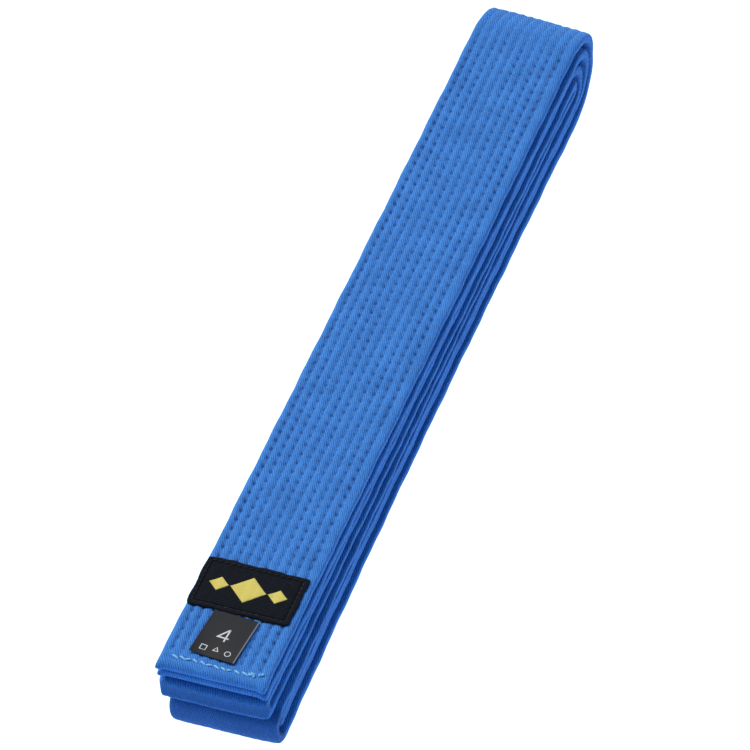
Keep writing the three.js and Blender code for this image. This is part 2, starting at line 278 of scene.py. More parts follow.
@dataclass(frozen=True)
class Settling:
    """How the soft bundle settles: a gentle bend of space that moves every piece of it alike.

    The two groups of four runs press together and leave a gap between them, the runs wave, and the far
    folds bulge further out on their left side.
    """

    height: float
    length: float
    lower_top: float
    upper_bottom: float
    outer_fold_y: float
    middle_fold_y: float
    press_lower: float = 0.25
    press_upper: float = 0.5
    wave: float = 0.05
    square: float = 3.6
    bow: float = 1.4
    near_reach: float = 0.7
    middle_sag: float = 0.8
    sway: float = 0.07
    far_skew: float = 0.03
    near_skew: float = 0.045
    far_shoulder: float = 1.8

    def apply(self, points: np.ndarray) -> np.ndarray:
        """Moves points of the straight bundle to where the settled cloth has them.

        Height: the two groups close up by a piecewise straight function of height, faded in away from the
        near end, and two sine waves along the length grow with height. Sideways: two slow sines, and
        a parabola of the length by which the lower group bows to the left.
        Lengthways: a shear by the place across, faded in towards each end, a half sine of height that
        squares the far folds' upper shoulder, and t^2 (1 - t^4) of the height t from a near fold's middle,
        which makes its round front flatter (the lower fold's above its middle alone).

        Args:
            points: any shape by 3, in millimetres.

        Returns:
            The moved points, in the same shape.
        """
        x, y, z = points[..., 0], points[..., 1], points[..., 2]
        reach = smooth(-0.42 * self.length, -0.2 * self.length, y)
        levels = [0.0, self.lower_top, self.upper_bottom, self.height]
        close = np.interp(z, levels, [0.0, -self.press_lower, self.press_upper, 0.0])
        lift = np.clip(z / self.height, 0.0, 1.0)
        waves = np.sin(y / 31.0 + 0.6) + 0.5 * np.sin(y / 13.5 + 2.0)
        lower = 1.0 - smooth(0.3 * self.height, 0.62 * self.height, z)
        sway = self.sway * (np.sin(y / 42.0 + 0.18 * z) + 0.6 * np.sin(0.55 * z + y / 95.0))
        far = smooth(0.2 * self.length, 0.5 * self.length, y)
        near = 1.0 - smooth(-0.4 * self.length, -0.25 * self.length, y)
        skew = -x * (self.far_skew * far - self.near_skew * near)
        upper = np.clip(2.0 * z / self.height - 1.0, 0.0, 1.0)
        tip = smooth(0.44 * self.length, 0.49 * self.length, y)
        shoulder = self.far_shoulder * np.sin(math.pi * upper) * tip
        reach_out = self.near_reach * near * lower
        sag = self.middle_sag * near * bell(z - 0.56 * self.height, 5.0)
        lower_half = self.lower_top / 2.0
        over = smooth(-0.4, 0.4, z / lower_half - 1.0)
        squared = over * self._square(z - lower_half, lower_half)
        squared = squared * (1.0 - smooth(-4.0, 3.0, y - self.outer_fold_y))
        quarter = (self.height - self.upper_bottom) / 4.0
        middle = self._square(z - self.upper_bottom - quarter, quarter)
        squared = squared + middle * (1.0 - smooth(-3.0, 1.5, y - self.middle_fold_y))
        moved = np.stack(
            [
                x + sway - self.bow * lower * np.clip(1.0 - (2.0 * y / self.length) ** 2, 0.0, 1.0),
                y + skew + shoulder - reach_out - squared,
                z + reach * close - sag + self.wave * lift * waves,
            ],
            axis=-1,
        )
        return moved

    def _square(self, above: np.ndarray, half: float) -> np.ndarray:
        """How far a near fold's front is pushed out, by the height above its middle over its half height."""
        t = np.clip(np.abs(above) / half, 0.0, 1.0)
        return self.square * t**2 * (1.0 - t**4)


class StrapRoute:
    """The strap's middle line through all its runs and folds, by length from the labelled end."""

    ORDER: tuple[tuple[str, Turn | None], ...] = (
        ("run_1", None),
        ("far_fold_1", Turn.CLOCKWISE),
        ("run_8", None),
        ("near_fold_outer", Turn.CLOCKWISE),
        ("run_5", None),
        ("far_fold_4", Turn.ANTICLOCKWISE),
        ("run_4", None),
        ("near_fold_middle", Turn.CLOCKWISE),
        ("run_3", None),
        ("far_fold_3", Turn.CLOCKWISE),
        ("run_6", None),
        ("near_fold_inner", Turn.ANTICLOCKWISE),
        ("run_7", None),
        ("far_fold_2", Turn.ANTICLOCKWISE),
        ("run_2", None),
    )
    FOLD_SAMPLES = 181
    SIDEWAYS: dict[str, tuple[float, float]] = {
        "run_1": (0.0, 0.0),
        "run_2": (0.2, 1.2),
        "run_3": (-0.2, 0.2),
        "run_4": (0.8, 1.3),
        "run_5": (2.8, 0.9),
        "run_6": (2.5, 1.9),
        "run_7": (1.7, 1.3),
        "run_8": (3.3, 2.0),
    }  # how far each run lies to the right, at its near and its far end

    def __init__(self) -> None:
        """Reads every run's and fold's box from the frame and strings them together."""
        low, high = box_mm("cover_run_1")
        self.half_width = (high[0] - low[0]) / 2.0
        self.half_thickness = (high[2] - low[2]) / 2.0
        self.near_y = low[1]
        self.starts: dict[str, float] = {}
        self.ends: dict[str, float] = {}
        self.fold_y: dict[str, float] = {}
        ys: list[np.ndarray] = []
        zs: list[np.ndarray] = []
        headings: list[np.ndarray] = []
        lengths: list[np.ndarray] = []
        travelled = 0.0
        heading = 0.0
        for position, (name, turn) in enumerate(self.ORDER):
            if turn is None:
                y, z = self._run_line(position)
                angle = np.full(2, heading)
                length = np.array([0.0, abs(y[1] - y[0])])
            else:
                y, z, angle, length = self._fold_line(name, turn, heading)
                heading = angle[-1]
            self.starts[name] = travelled
            ys.append(y)
            zs.append(z)
            headings.append(angle)
            lengths.append(travelled + length)
            travelled += length[-1]
            self.ends[name] = travelled
        self.length = travelled
        self._lay_sideways()
        self.y = np.concatenate(ys)
        self.z = np.concatenate(zs)
        self.heading = np.concatenate(headings)
        self.s = np.concatenate(lengths)
        self.settling = self._settling()

    def _fold_shape(self, name: str) -> tuple[float, float, float]:
        """A fold's centre y, centre z and middle radius, from its cover's box."""
        low, high = box_mm(f"cover_{name}")
        centre_y = low[1] if name.startswith("far") else high[1]
        self.fold_y[name] = centre_y
        radius = (high[2] - low[2]) / 2.0 - self.half_thickness
        return centre_y, (low[2] + high[2]) / 2.0, radius

    def _run_line(self, position: int) -> tuple[np.ndarray, np.ndarray]:
        """A run's two end points: it reaches from one fold's centre, or a free end, to the next one's."""
        name = self.ORDER[position][0]
        low, high = box_mm(f"cover_{name}")
        free_end = low[1]
        before = self._fold_shape(self.ORDER[position - 1][0])[0] if position else free_end
        last = position == len(self.ORDER) - 1
        after = free_end if last else self._fold_shape(self.ORDER[position + 1][0])[0]
        return np.array([before, after]), np.full(2, (low[2] + high[2]) / 2.0)

    def _fold_line(self, name: str, turn: Turn, heading: float) -> tuple[np.ndarray, ...]:
        """A half circle: centre minus turn times radius times the strap's normal, as the heading turns."""
        centre_y, centre_z, radius = self._fold_shape(name)
        swept = np.linspace(0.0, math.pi, self.FOLD_SAMPLES)
        angle = heading + turn.value * swept
        y = centre_y + turn.value * radius * np.sin(angle)
        z = centre_z - turn.value * radius * np.cos(angle)
        return y, z, angle, radius * swept

    def _lay_sideways(self) -> None:
        """Each run's sideways places at its two ends, with folds going straight from one to the next."""
        marks: list[float] = []
        places: list[float] = []
        for position, (name, turn) in enumerate(self.ORDER):
            if turn is None:
                near, far = self.SIDEWAYS[name]
                outward = position % 4 == 0
                marks += [self.starts[name], self.ends[name]]
                places += [near, far] if outward else [far, near]
        self.side_marks = np.array(marks)
        self.side_places = np.array(places)

    def _settling(self) -> Settling:
        """The settling of a bundle with this one's height and length."""
        high = box_mm("cover_run_1")[1]
        return Settling(
            height=high[2],
            length=box_mm("cover_far_fold_1")[1][1] - self.near_y,
            lower_top=box_mm("cover_run_5")[1][2],
            upper_bottom=box_mm("cover_run_4")[0][2],
            outer_fold_y=box_mm("cover_near_fold_outer")[1][1],
            middle_fold_y=box_mm("cover_near_fold_middle")[1][1],
        )

    def place(self, x: np.ndarray, s: np.ndarray, n: np.ndarray) -> np.ndarray:
        """Points at a place across the strap, a length along it and a height above its middle.

        The middle line's point at that length, plus the height times the line's normal in the YZ plane,
        then settled with the rest of the bundle. Lengths before the strap's start run straight on.

        Args:
            x: place across, from the middle.
            s: length along, from the labelled end.
            n: height above the middle, towards the label's face.

        Returns:
            Points, in the arrays' common shape by 3.
        """
        x, s, n = np.broadcast_arrays(x, s, n)
        y = np.interp(s, self.s, self.y) + np.minimum(s, 0.0)
        y = y - np.maximum(s - self.length, 0.0)
        z = np.interp(s, self.s, self.z)
        angle = np.interp(s, self.s, self.heading)
        x = x + np.interp(s, self.side_marks, self.side_places)
        points = np.stack([x, y - n * np.sin(angle), z + n * np.cos(angle)], axis=-1)
        return self.settling.apply(points)

    def stations(self, first: str, last: str, step: float, fold_share: float) -> np.ndarray:
        """Lengths at which a piece of strap gets its rings, closer together where a fold is tight.

        Args:
            first: the first run or fold of the piece.
            last: the last one.
            step: the widest step.
            fold_share: the widest step in a fold, as a share of its radius.

        Returns:
            Rising lengths from the start of first to the end of last.
        """
        names = [name for name, _ in self.ORDER]
        marks: list[np.ndarray] = []
        for name in names[names.index(first) : names.index(last) + 1]:
            span = self.ends[name] - self.starts[name]
            widest = step if name.startswith("run") else min(step, fold_share * span / math.pi)
            count = max(2, math.ceil(span / widest))
            marks.append(np.linspace(self.starts[name], self.ends[name], count, endpoint=False))
        return np.append(np.concatenate(marks), self.ends[last])


# ---------------------------------------------------------------------------------------------------------
# Quilting
# ---------------------------------------------------------------------------------------------------------


@dataclass(frozen=True)
class Quilting:
    """Rows of lockstitch that pull the padded cloth down into long ridges and small pits."""

    rows: np.ndarray
    length: float
    half_width: float
    fold_starts: np.ndarray
    fold_ends: np.ndarray
    fold_is_near: np.ndarray
    pitch: float = 4.25
    pitch_spread: float = 0.07
    row_shift: float = 0.54
    valley: float = 0.55
    left_edge: float = -21.2
    right_edge: float = 20.6
    pit: float = 0.44
    pit_width: float = 0.58
    pit_sharpness: float = 2.2
    puff: float = 0.11
    puff_slope: float = 1.4
    crown: float = 0.3
    stretched_far: float = 0.6
    stretched_near: float = 0.12
    stretch_reach: float = 7.0
    # painted shade on the front of a near fold, which faces away from the key light, in the units of the
    # quilting's depth
    painted_shade_strength: float = 0.9
    swallow: float = 0.5
    fade_from: float = 3.6
    fade_to: float = 9.0
    hem_line: float = 4.0
    hem_pull: float = 0.4
    hem_width: float = 0.9
    hem_edge: float = 3.0
    stray: float = 0.14

    @staticmethod
    def from_frame(route: StrapRoute) -> "Quilting":
        """Takes each row's place across the strap from its thread in the frame."""
        boxes = [box_mm(f"quilting_thread_{row:02d}") for row in range(1, 11)]
        rows = np.array([(low[0] + high[0]) / 2.0 for low, high in boxes])
        hem_low, hem_high = box_mm("hem_stitching_1")
        hem_line = (hem_low[1] + hem_high[1]) / 2.0 - route.near_y
        folds = [name for name, turn in StrapRoute.ORDER if turn is not None]
        starts = np.array([route.starts[name] for name in folds])
        ends = np.array([route.ends[name] for name in folds])
        near = np.array([name.startswith("near") for name in folds])
        return Quilting(rows, route.length, route.half_width, starts, ends, near, hem_line=hem_line)

    def row_pitch(self, row: int) -> float:
        """A row's own stitch length, a few percent off the usual one by a sine of its number."""
        return self.pitch * (1.0 + self.pitch_spread * math.sin(2.3 * row + 0.4))

    def row_start(self, row: int) -> float:
        """Where a row's first hole lies, each row shifted on from the last by a share of a stitch."""
        return self.row_shift * row * self.pitch % self.row_pitch(row)

    def wander(self, s: np.ndarray) -> np.ndarray:
        """How far the rows stray sideways, a slow sine of the length."""
        return self.stray * np.sin(s / 17.0)

    def near_fold_painted_shade(self, s: np.ndarray) -> np.ndarray:
        """How much painted shade darkens a near fold, whose front faces away from the key light, in the same
        units as the quilting's depth.
        """
        knots = [self.fold_starts - 1.0, self.fold_starts + 3.0, self.fold_ends - 3.0, self.fold_ends + 1.0]
        outside = np.zeros(len(self.fold_starts))
        inside = np.where(self.fold_is_near, self.painted_shade_strength, 0.0)
        shares = np.stack([outside, inside, inside, outside], axis=-1).ravel()
        return np.interp(s, np.stack(knots, axis=-1).ravel(), shares)

    def fade(self, s: np.ndarray) -> np.ndarray:
        """How strongly the rows show: a soft step from either hem, less where a fold stretches the cloth."""
        from_end = np.minimum(s, self.length - s)
        reach = self.stretch_reach
        starts, ends = self.fold_starts, self.fold_ends
        marks = np.stack([starts - reach, starts + 1.0, ends - 1.0, ends + reach], axis=-1).ravel()
        inside = np.where(self.fold_is_near, self.stretched_near, self.stretched_far)
        outside = np.ones(len(inside))
        shares = np.stack([outside, inside, inside, outside], axis=-1).ravel()
        return smooth(self.fade_from, self.fade_to, from_end) * np.interp(s, marks, shares)

    def sink(self, x: np.ndarray, s: np.ndarray) -> np.ndarray:
        """How far the cloth lies below the strap's plain outline.

        Between two neighbouring rows u goes from 0 to 1, and the ridge there is (2u - 1)^2 of the valley's
        depth: round on top and sharp at the rows. For each row, a bell across it times a periodic pulse
        along it makes the pits at the holes. A cosine of a slanting place gives the ridges their rope-like
        puffs. The face is crowned by the cube of the place across, and a slow pair of sines makes the
        padding uneven.

        Args:
            x: places across.
            s: lengths along.

        Returns:
            Depths in millimetres, in the arrays' common shape.
        """
        x, s = np.broadcast_arrays(x, s)
        knots = np.concatenate([[self.left_edge], self.rows, [self.right_edge]])
        straight = x - self.wander(s)
        ridge = np.clip(np.searchsorted(knots, straight) - 1, 0, len(knots) - 2)
        u = (straight - knots[ridge]) / (knots[ridge + 1] - knots[ridge])
        rows = self.valley * (2.0 * u - 1.0) ** 2
        for row, place in enumerate(self.rows):
            beat = 2.0 * math.pi * (s - self.row_start(row)) / self.row_pitch(row)
            pulse = np.exp(self.pit_sharpness * (np.cos(beat) - 1.0))
            rows += self.pit * bell(straight - place, self.pit_width) * pulse
        uneven = 0.04 * (1.0 + np.sin(s / 6.1 + x / 3.7)) + 0.03 * (1.0 + np.sin(s / 2.9 - x / 2.2))
        puffs = self.puff * (1.0 + np.cos(2.0 * math.pi * (s + self.puff_slope * x) / self.pitch))
        crown = self.crown * np.abs(x / self.half_width) ** 3
        from_end = np.minimum(s, self.length - s)
        inside_edge = smooth(0.0, self.hem_edge, self.half_width - np.abs(x))
        hem = self.hem_pull * bell(from_end - self.hem_line, self.hem_width) * inside_edge
        return (rows + puffs) * self.fade(s) + uneven + crown + hem

    def stitches(self, first: float, last: float) -> tuple[np.ndarray, np.ndarray, np.ndarray]:
        """Every stitch whose start lies between two lengths.

        Args:
            first: the lower length.
            last: the upper length.

        Returns:
            Each stitch's row place, start and end.
        """
        places: list[np.ndarray] = []
        starts: list[np.ndarray] = []
        ends: list[np.ndarray] = []
        low = max(first, self.fade_from + 1.0)
        high = min(last, self.length - self.fade_from - 1.0)
        for row, place in enumerate(self.rows):
            pitch = self.row_pitch(row)
            offset = self.row_start(row)
            numbers = np.arange(math.ceil((low - offset) / pitch), math.floor((high - offset) / pitch))
            start = offset + numbers * pitch
            starts.append(start)
            ends.append(start + pitch)
            places.append(place + self.wander(start))
        return np.concatenate(places), np.concatenate(starts), np.concatenate(ends)


@dataclass(frozen=True)
class Section:
    """The strap's cross-section: a rounded left edge and a long right margin that thins to a crease."""

    half_width: float
    half_thickness: float
    edge_radius: float = 1.75
    fullness: float = 0.2
    edge_points: int = 5
    face_points: int = 70
    margin: float = 2.4
    margin_points: int = 9
    crease: float = 1.2
    margin_curve: float = 0.52

    def chain(self) -> tuple[np.ndarray, np.ndarray, np.ndarray]:
        """Points over the front: up a quarter round at the left, across, and down the margin at the right.

        Over the margin t goes from 0 to 1, and the height falls from the full one to the crease's by a
        power of 1 - t^2.

        Returns:
            Places across, heights, and how much of the quilting's depth each point takes.
        """
        radius = self.edge_radius
        angle = (np.arange(self.edge_points) + 0.5) / self.edge_points * (math.pi / 2.0)
        rise = np.sin(angle)
        full = self.half_thickness + self.fullness
        left = -self.half_width + radius * (1.0 - np.cos(angle))
        shoulder = self.half_width - self.margin
        flat = np.linspace(-self.half_width + radius, shoulder, self.face_points)
        t = (np.arange(self.margin_points) + 1.0) / self.margin_points
        fall = (1.0 - t**2) ** self.margin_curve
        x = np.concatenate([left, flat, shoulder + self.margin * t])
        heights = [full * rise, np.full(self.face_points, full), self.crease + (full - self.crease) * fall]
        weights = [rise**2, np.ones(self.face_points), fall**2]
        return x, np.concatenate(heights), np.concatenate(weights)


@dataclass(frozen=True)
class StrapEnd:
    """The rounded, hemmed end of the strap, with corners that poke out a little."""

    rounding: float = 2.3
    rings: int = 6
    thinnest: float = 0.16
    pinch_reach: float = 7.0
    corner_poke: float = 0.9

    def taper(self, from_end: np.ndarray) -> np.ndarray:
        """The share of full thickness near an end, a quarter circle of the rounding's radius."""
        t = np.clip(1.0 - from_end / self.rounding, 0.0, 1.0)
        return self.thinnest + (1.0 - self.thinnest) * np.sqrt(1.0 - t**2)

    def extra_stations(self, end: float, inward: int) -> np.ndarray:
        """Closer rings over the rounding, spaced evenly by angle.

        Args:
            end: the strap's end.
            inward: 1 when the strap leads on to greater lengths, -1 when to smaller ones.

        Returns:
            The lengths of the rings.
        """
        angle = np.linspace(0.0, math.pi / 2.0, self.rings)
        return end + inward * self.rounding * (1.0 - np.cos(angle))


@dataclass(frozen=True)
class PieceOfStrap:
    """One mesh of the strap: which runs and folds it covers, what it rides on and what it stands for."""

    name: str
    first: str
    last: str
    body: str
    hinge_fold: str | None
    rests_on: str
    step: float = 1.0
    face_points: int = 50


class FoldedStrap:
    """The quilted strap, in pieces that meet at the far folds, with its quilting threads."""

    PIECES: tuple[PieceOfStrap, ...] = (
        PieceOfStrap(
            "labelled_strap", "run_1", "far_fold_1", "labelled_end", "far_fold_1", "second_strap", 0.68, 74
        ),
        PieceOfStrap("lower_outer_strap", "run_8", "run_5", "bundle", None, "floor"),
        PieceOfStrap(
            "middle_strap", "far_fold_4", "far_fold_3", "middle_pair", "far_fold_4", "lower_outer_strap"
        ),
        PieceOfStrap("lower_inner_strap", "run_6", "run_7", "bundle", None, "lower_outer_strap"),
        PieceOfStrap("second_strap", "far_fold_2", "run_2", "second_end", "far_fold_2", "middle_strap"),
    )
    FIXED_BODY = "bundle"
    BEND_LENGTH = 28.0
    FOLD_STEP_SHARE = 0.16
    THREAD_RADIUS = 0.17
    END_SPREAD = 0.012  # shares of the width by which a hem spreads and its rounding draws in
    END_NARROWING = 0.03
    EDGE_WAVE = 0.1
    EDGE_RIPPLE = 0.06
    EDGE_POWER = 8
    FINE_THREAD = (6, 6)  # rings and sides of a stitch on the labelled strap, and on the others
    PLAIN_THREAD = (4, 4)

    def __init__(self, route: StrapRoute, quilting: Quilting) -> None:
        """Keeps the route, the quilting and the shape of the ends."""
        self.route = route
        self.quilting = quilting
        self.end = StrapEnd()

    def build(self, cloth: bpy.types.Material, thread: bpy.types.Material) -> None:
        """Makes every piece of the strap and its threads, and ties those of pieces without a hinge fold to
        their bodies.

        Args:
            cloth: the cover's finish.
            thread: the quilting thread's finish.
        """
        for piece in self.PIECES:
            strap = self._surface(piece).to_object(piece.name, cloth)
            stations = self.route.starts[piece.first], self.route.ends[piece.last]
            threads = self._threads(piece, *stations).to_object(f"{piece.name}_threads", thread)
            self._attach(strap, piece)
            self._attach(threads, piece)
            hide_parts(*self._stands_for(piece))
            if piece.first == "run_1":
                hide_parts(*[f"quilting_thread_{row:02d}" for row in range(1, 11)])

    def _stands_for(self, piece: PieceOfStrap) -> list[str]:
        """The covers and cores of the runs and folds that a piece spans."""
        names = [name for name, _ in StrapRoute.ORDER]
        spanned = names[names.index(piece.first) : names.index(piece.last) + 1]
        return [f"{layer}_{name}" for name in spanned for layer in ("cover", "core")]

    def _attach(self, part: bpy.types.Object, piece: PieceOfStrap) -> None:
        """Rides a part on its body, or, for a piece with a hinge fold, only bakes its transform into the
        mesh.
        """
        if piece.hinge_fold is None:
            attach(part, piece.body)
            return
        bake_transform(part)

    def _surface(self, piece: PieceOfStrap) -> Surface:
        """The piece's closed skin: the section carried along the route, sunk where it is quilted.

        Ring points follow the section's chain over the front and its mirror image back over the rear. The
        height is the section's less the quilting's depth, and near a free end both height and width shrink
        by the end's taper while the corners poke out. Two sines of the length make the edges uneven.
        """
        route = self.route
        section = Section(route.half_width, route.half_thickness, face_points=piece.face_points)
        chain_x, chain_n, weight = section.chain()
        s = route.stations(piece.first, piece.last, piece.step, self.FOLD_STEP_SHARE)
        s = self._with_end_rings(s)[:, None]
        from_end = np.minimum(s, route.length - s)
        taper = self.end.taper(from_end)
        sink = self.quilting.sink(chain_x[None, :], s) * weight[None, :]
        height = (chain_n[None, :] - sink) * taper
        edge = np.abs(chain_x[None, :]) / route.half_width
        near = 1.0 - smooth(0.0, self.end.pinch_reach, from_end)
        x = chain_x[None, :] * (1.0 + self.END_SPREAD * near - self.END_NARROWING * (1.0 - taper))
        outer = edge**self.EDGE_POWER
        x = x + self.EDGE_WAVE * np.sin(s / 5.3 + 2.0) * outer + self.EDGE_RIPPLE * np.sin(s / 2.1) * outer
        poke = self.end.corner_poke * near * smooth(0.8, 1.0, edge) * (from_end < route.length / 4)
        outward = np.where(s < route.length / 2, -1.0, 1.0)
        length = s + outward * poke
        front = route.place(x, length, height)
        back = route.place(x, length, -height)
        rings = np.concatenate([front, back[:, ::-1]], axis=1)
        steps = np.hypot(np.diff(chain_x), np.diff(chain_n))
        walk = np.concatenate([[0.0], np.cumsum(steps)])
        gap = 2.0 * chain_n[0]
        around = np.concatenate([walk, 2.0 * walk[-1] + gap - walk[::-1], [2.0 * (walk[-1] + gap)]])
        # Painted shade mask for the cloth's finish: the quilting's depth, or a near fold's painted shade
        # where that is greater.
        depth = np.maximum(sink, self.quilting.near_fold_painted_shade(s))
        depth = np.concatenate([depth, depth[:, ::-1]], axis=1)
        return tube(rings, around, s[:, 0], depth)

    def _with_end_rings(self, s: np.ndarray) -> np.ndarray:
        """The stations with the ends' closer rings in place of those that they overlap."""
        end = self.end
        length = self.route.length
        if s[0] <= 0.0:
            s = np.concatenate([end.extra_stations(0.0, 1), s[s > end.rounding + 0.1]])
        if s[-1] >= length:
            tail = end.extra_stations(length, -1)[::-1]
            s = np.concatenate([s[s < length - end.rounding - 0.1], tail])
        return s

    def _threads(self, piece: PieceOfStrap, first: float, last: float) -> Surface:
        """The stitches on both faces: thin tubes from hole to hole that dip into the cloth at each end."""
        rings, sides = self.FINE_THREAD if piece.first == "run_1" else self.PLAIN_THREAD
        places, starts, ends = self.quilting.stitches(first, last)
        parts = [
            stitch_tubes(
                self.route,
                self.quilting,
                face,
                places,
                starts,
                places,
                ends,
                self.THREAD_RADIUS,
                rings,
                sides,
            )
            for face in Face
        ]
        return Surface.join(parts)


def stitch_tubes(
    route: StrapRoute,
    quilting: Quilting,
    face: Face,
    from_x: np.ndarray,
    from_s: np.ndarray,
    to_x: np.ndarray,
    to_s: np.ndarray,
    radius: float,
    rings: int,
    sides: int,
    arch: float = 0.1,
    dip: float = 0.3,
) -> Surface:
    """Many stitches as one surface: each a thin tube over the cloth between two holes.

    Along a stitch t goes from 0 to 1. Its middle line lies arch above the cloth at the middle and dip below
    it at the holes, by the root of a half sine of t, and the stretched cloth of a near fold swallows it.
    Round the line a circle of the radius stands across it, thinner at the ends.

    Args:
        route: the strap's route.
        quilting: the shape of the cloth under the stitches.
        face: the side of the strap that the stitches lie on.
        from_x: where each stitch starts, across.
        from_s: where each stitch starts, along.
        to_x: where each ends, across.
        to_s: where each ends, along.
        radius: of the thread.
        rings: rings of points along a stitch.
        sides: points in a ring, an even number.
        arch: the thread's height above the cloth at mid-stitch.
        dip: its depth at the holes.

    Returns:
        All the tubes, closed.
    """
    t = np.linspace(0.0, 1.0, rings)[None, :]
    line_x = from_x[:, None] + (to_x - from_x)[:, None] * t
    line_s = from_s[:, None] + (to_s - from_s)[:, None] * t
    crest = np.sin(math.pi * t)
    # the near folds' painted shade over its full strength serves here as a mask of the near folds
    swallowed = quilting.swallow * quilting.near_fold_painted_shade(line_s) / quilting.painted_shade_strength
    rise = -dip + (arch + dip) * np.sqrt(crest) - swallowed
    height = route.half_thickness + Section.fullness - quilting.sink(line_x, line_s) + rise
    angle = 2.0 * math.pi * (np.arange(sides) + 0.5) / sides
    thickness = radius * (0.55 + 0.45 * np.sqrt(crest))[..., None]
    run = np.hypot(to_x - from_x, to_s - from_s)[:, None, None]
    side_x = ((to_s - from_s)[:, None, None] / run) * thickness * np.cos(angle)
    side_s = (-(to_x - from_x)[:, None, None] / run) * thickness * np.cos(angle)
    x = line_x[..., None] + side_x
    s = line_s[..., None] + side_s
    n = height[..., None] + thickness * np.sin(angle)
    points = route.place(x, s, face.value * n)
    return copies_of_tube(points, radius, float(np.mean(run)))


# ---------------------------------------------------------------------------------------------------------
# Hem stitching
# ---------------------------------------------------------------------------------------------------------


@dataclass(frozen=True)
class HemStitching:
    """The thick thread that closes a hem: a line of slanting stitches and a back-tack at its right end."""

    node: str
    face: Face
    at_start: bool
    stitch: float = 2.6
    advance: float = 0.98
    slant: float = 0.75
    radius: float = 0.46
    left: float = -15.6
    right: float = 15.8
    tack_stitches: int = 11
    tack_width: float = 5.4
    drift: float = 0.28
    arch: float = 0.3
    dip: float = 0.32
    rings: int = 8
    sides: int = 8

    def build(self, route: StrapRoute, quilting: Quilting, material: bpy.types.Material, body: str) -> None:
        """Lays the stitches on the strap and ties them to a body.

        The line is a row of stitches that just overlap, each slanting across it. The back-tack is a zigzag
        of short stitches whose places come from sines of their number.

        Args:
            route: the strap's route.
            quilting: the cloth under the stitches.
            material: the thread's finish.
            body: the CAD body that the hem moves with.
        """
        number = np.arange(int((self.right - self.left) / (self.advance * self.stitch)))
        start_x = self.left + self.advance * self.stitch * number + 0.2 * np.sin(2.1 * number)
        end_x = start_x + self.stitch * (1.0 + 0.14 * np.sin(1.3 * number + 1.0))
        lean = self.slant * np.where(number % 3 == 2, -0.3, 1.0)
        drift = self.drift * np.sin(0.5 * number + 0.8)
        line = quilting.hem_line
        start_s = line + drift + lean
        end_s = line + drift - lean
        tack = np.arange(self.tack_stitches)
        tack_x = self.right - self.tack_width * (tack / self.tack_stitches) + 0.9 * np.sin(2.7 * tack) + 1.2
        tack_s = line + 0.75 * np.sin(1.9 * tack + 0.5) + 0.2
        tack_end_x = tack_x + 1.1 * np.cos(1.7 * tack)
        tack_end_s = tack_s + 1.15 * np.sin(2.3 * tack + 1.2) + 0.25
        from_x = np.concatenate([start_x, tack_x])
        to_x = np.concatenate([end_x, tack_end_x])
        from_s = np.concatenate([start_s, tack_s])
        to_s = np.concatenate([end_s, tack_end_s])
        if not self.at_start:
            from_s, to_s = route.length - from_s, route.length - to_s
        surface = stitch_tubes(
            route,
            quilting,
            self.face,
            from_x,
            from_s,
            to_x,
            to_s,
            self.radius,
            self.rings,
            self.sides,
            arch=self.arch,
            dip=self.dip,
        )
        piece = surface.to_object(f"{self.node}_thread", material)
        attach(piece, body)
        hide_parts(self.node)
        LOG.info("%s: %d stitches", piece.name, len(from_x))


# ---------------------------------------------------------------------------------------------------------
# Label and tag
# ---------------------------------------------------------------------------------------------------------


def patch_grid(
    low: np.ndarray, high: np.ndarray, columns: int, rows: int, corner: float
) -> tuple[np.ndarray, np.ndarray, np.ndarray, np.ndarray]:
    """A grid over a rectangle with slightly rounded corners.

    Places are the rectangle's, drawn in near each corner by the product of high powers of the two
    parameters.

    Args:
        low: the lowest place across and length along.
        high: the highest.
        columns: points across.
        rows: points along.
        corner: how far the corners are drawn in.

    Returns:
        Places across, lengths along, and the two parameters from -1 to 1.
    """
    a = np.linspace(-1.0, 1.0, columns)[None, :]
    b = np.linspace(-1.0, 1.0, rows)[:, None]
    draw = corner * np.abs(a) ** 14 * np.abs(b) ** 14
    x = (low[0] + high[0]) / 2.0 + a * ((high[0] - low[0]) / 2.0 - draw)
    s = (low[1] + high[1]) / 2.0 + b * ((high[1] - low[1]) / 2.0 - draw)
    return x, s, a + 0.0 * b, b + 0.0 * a


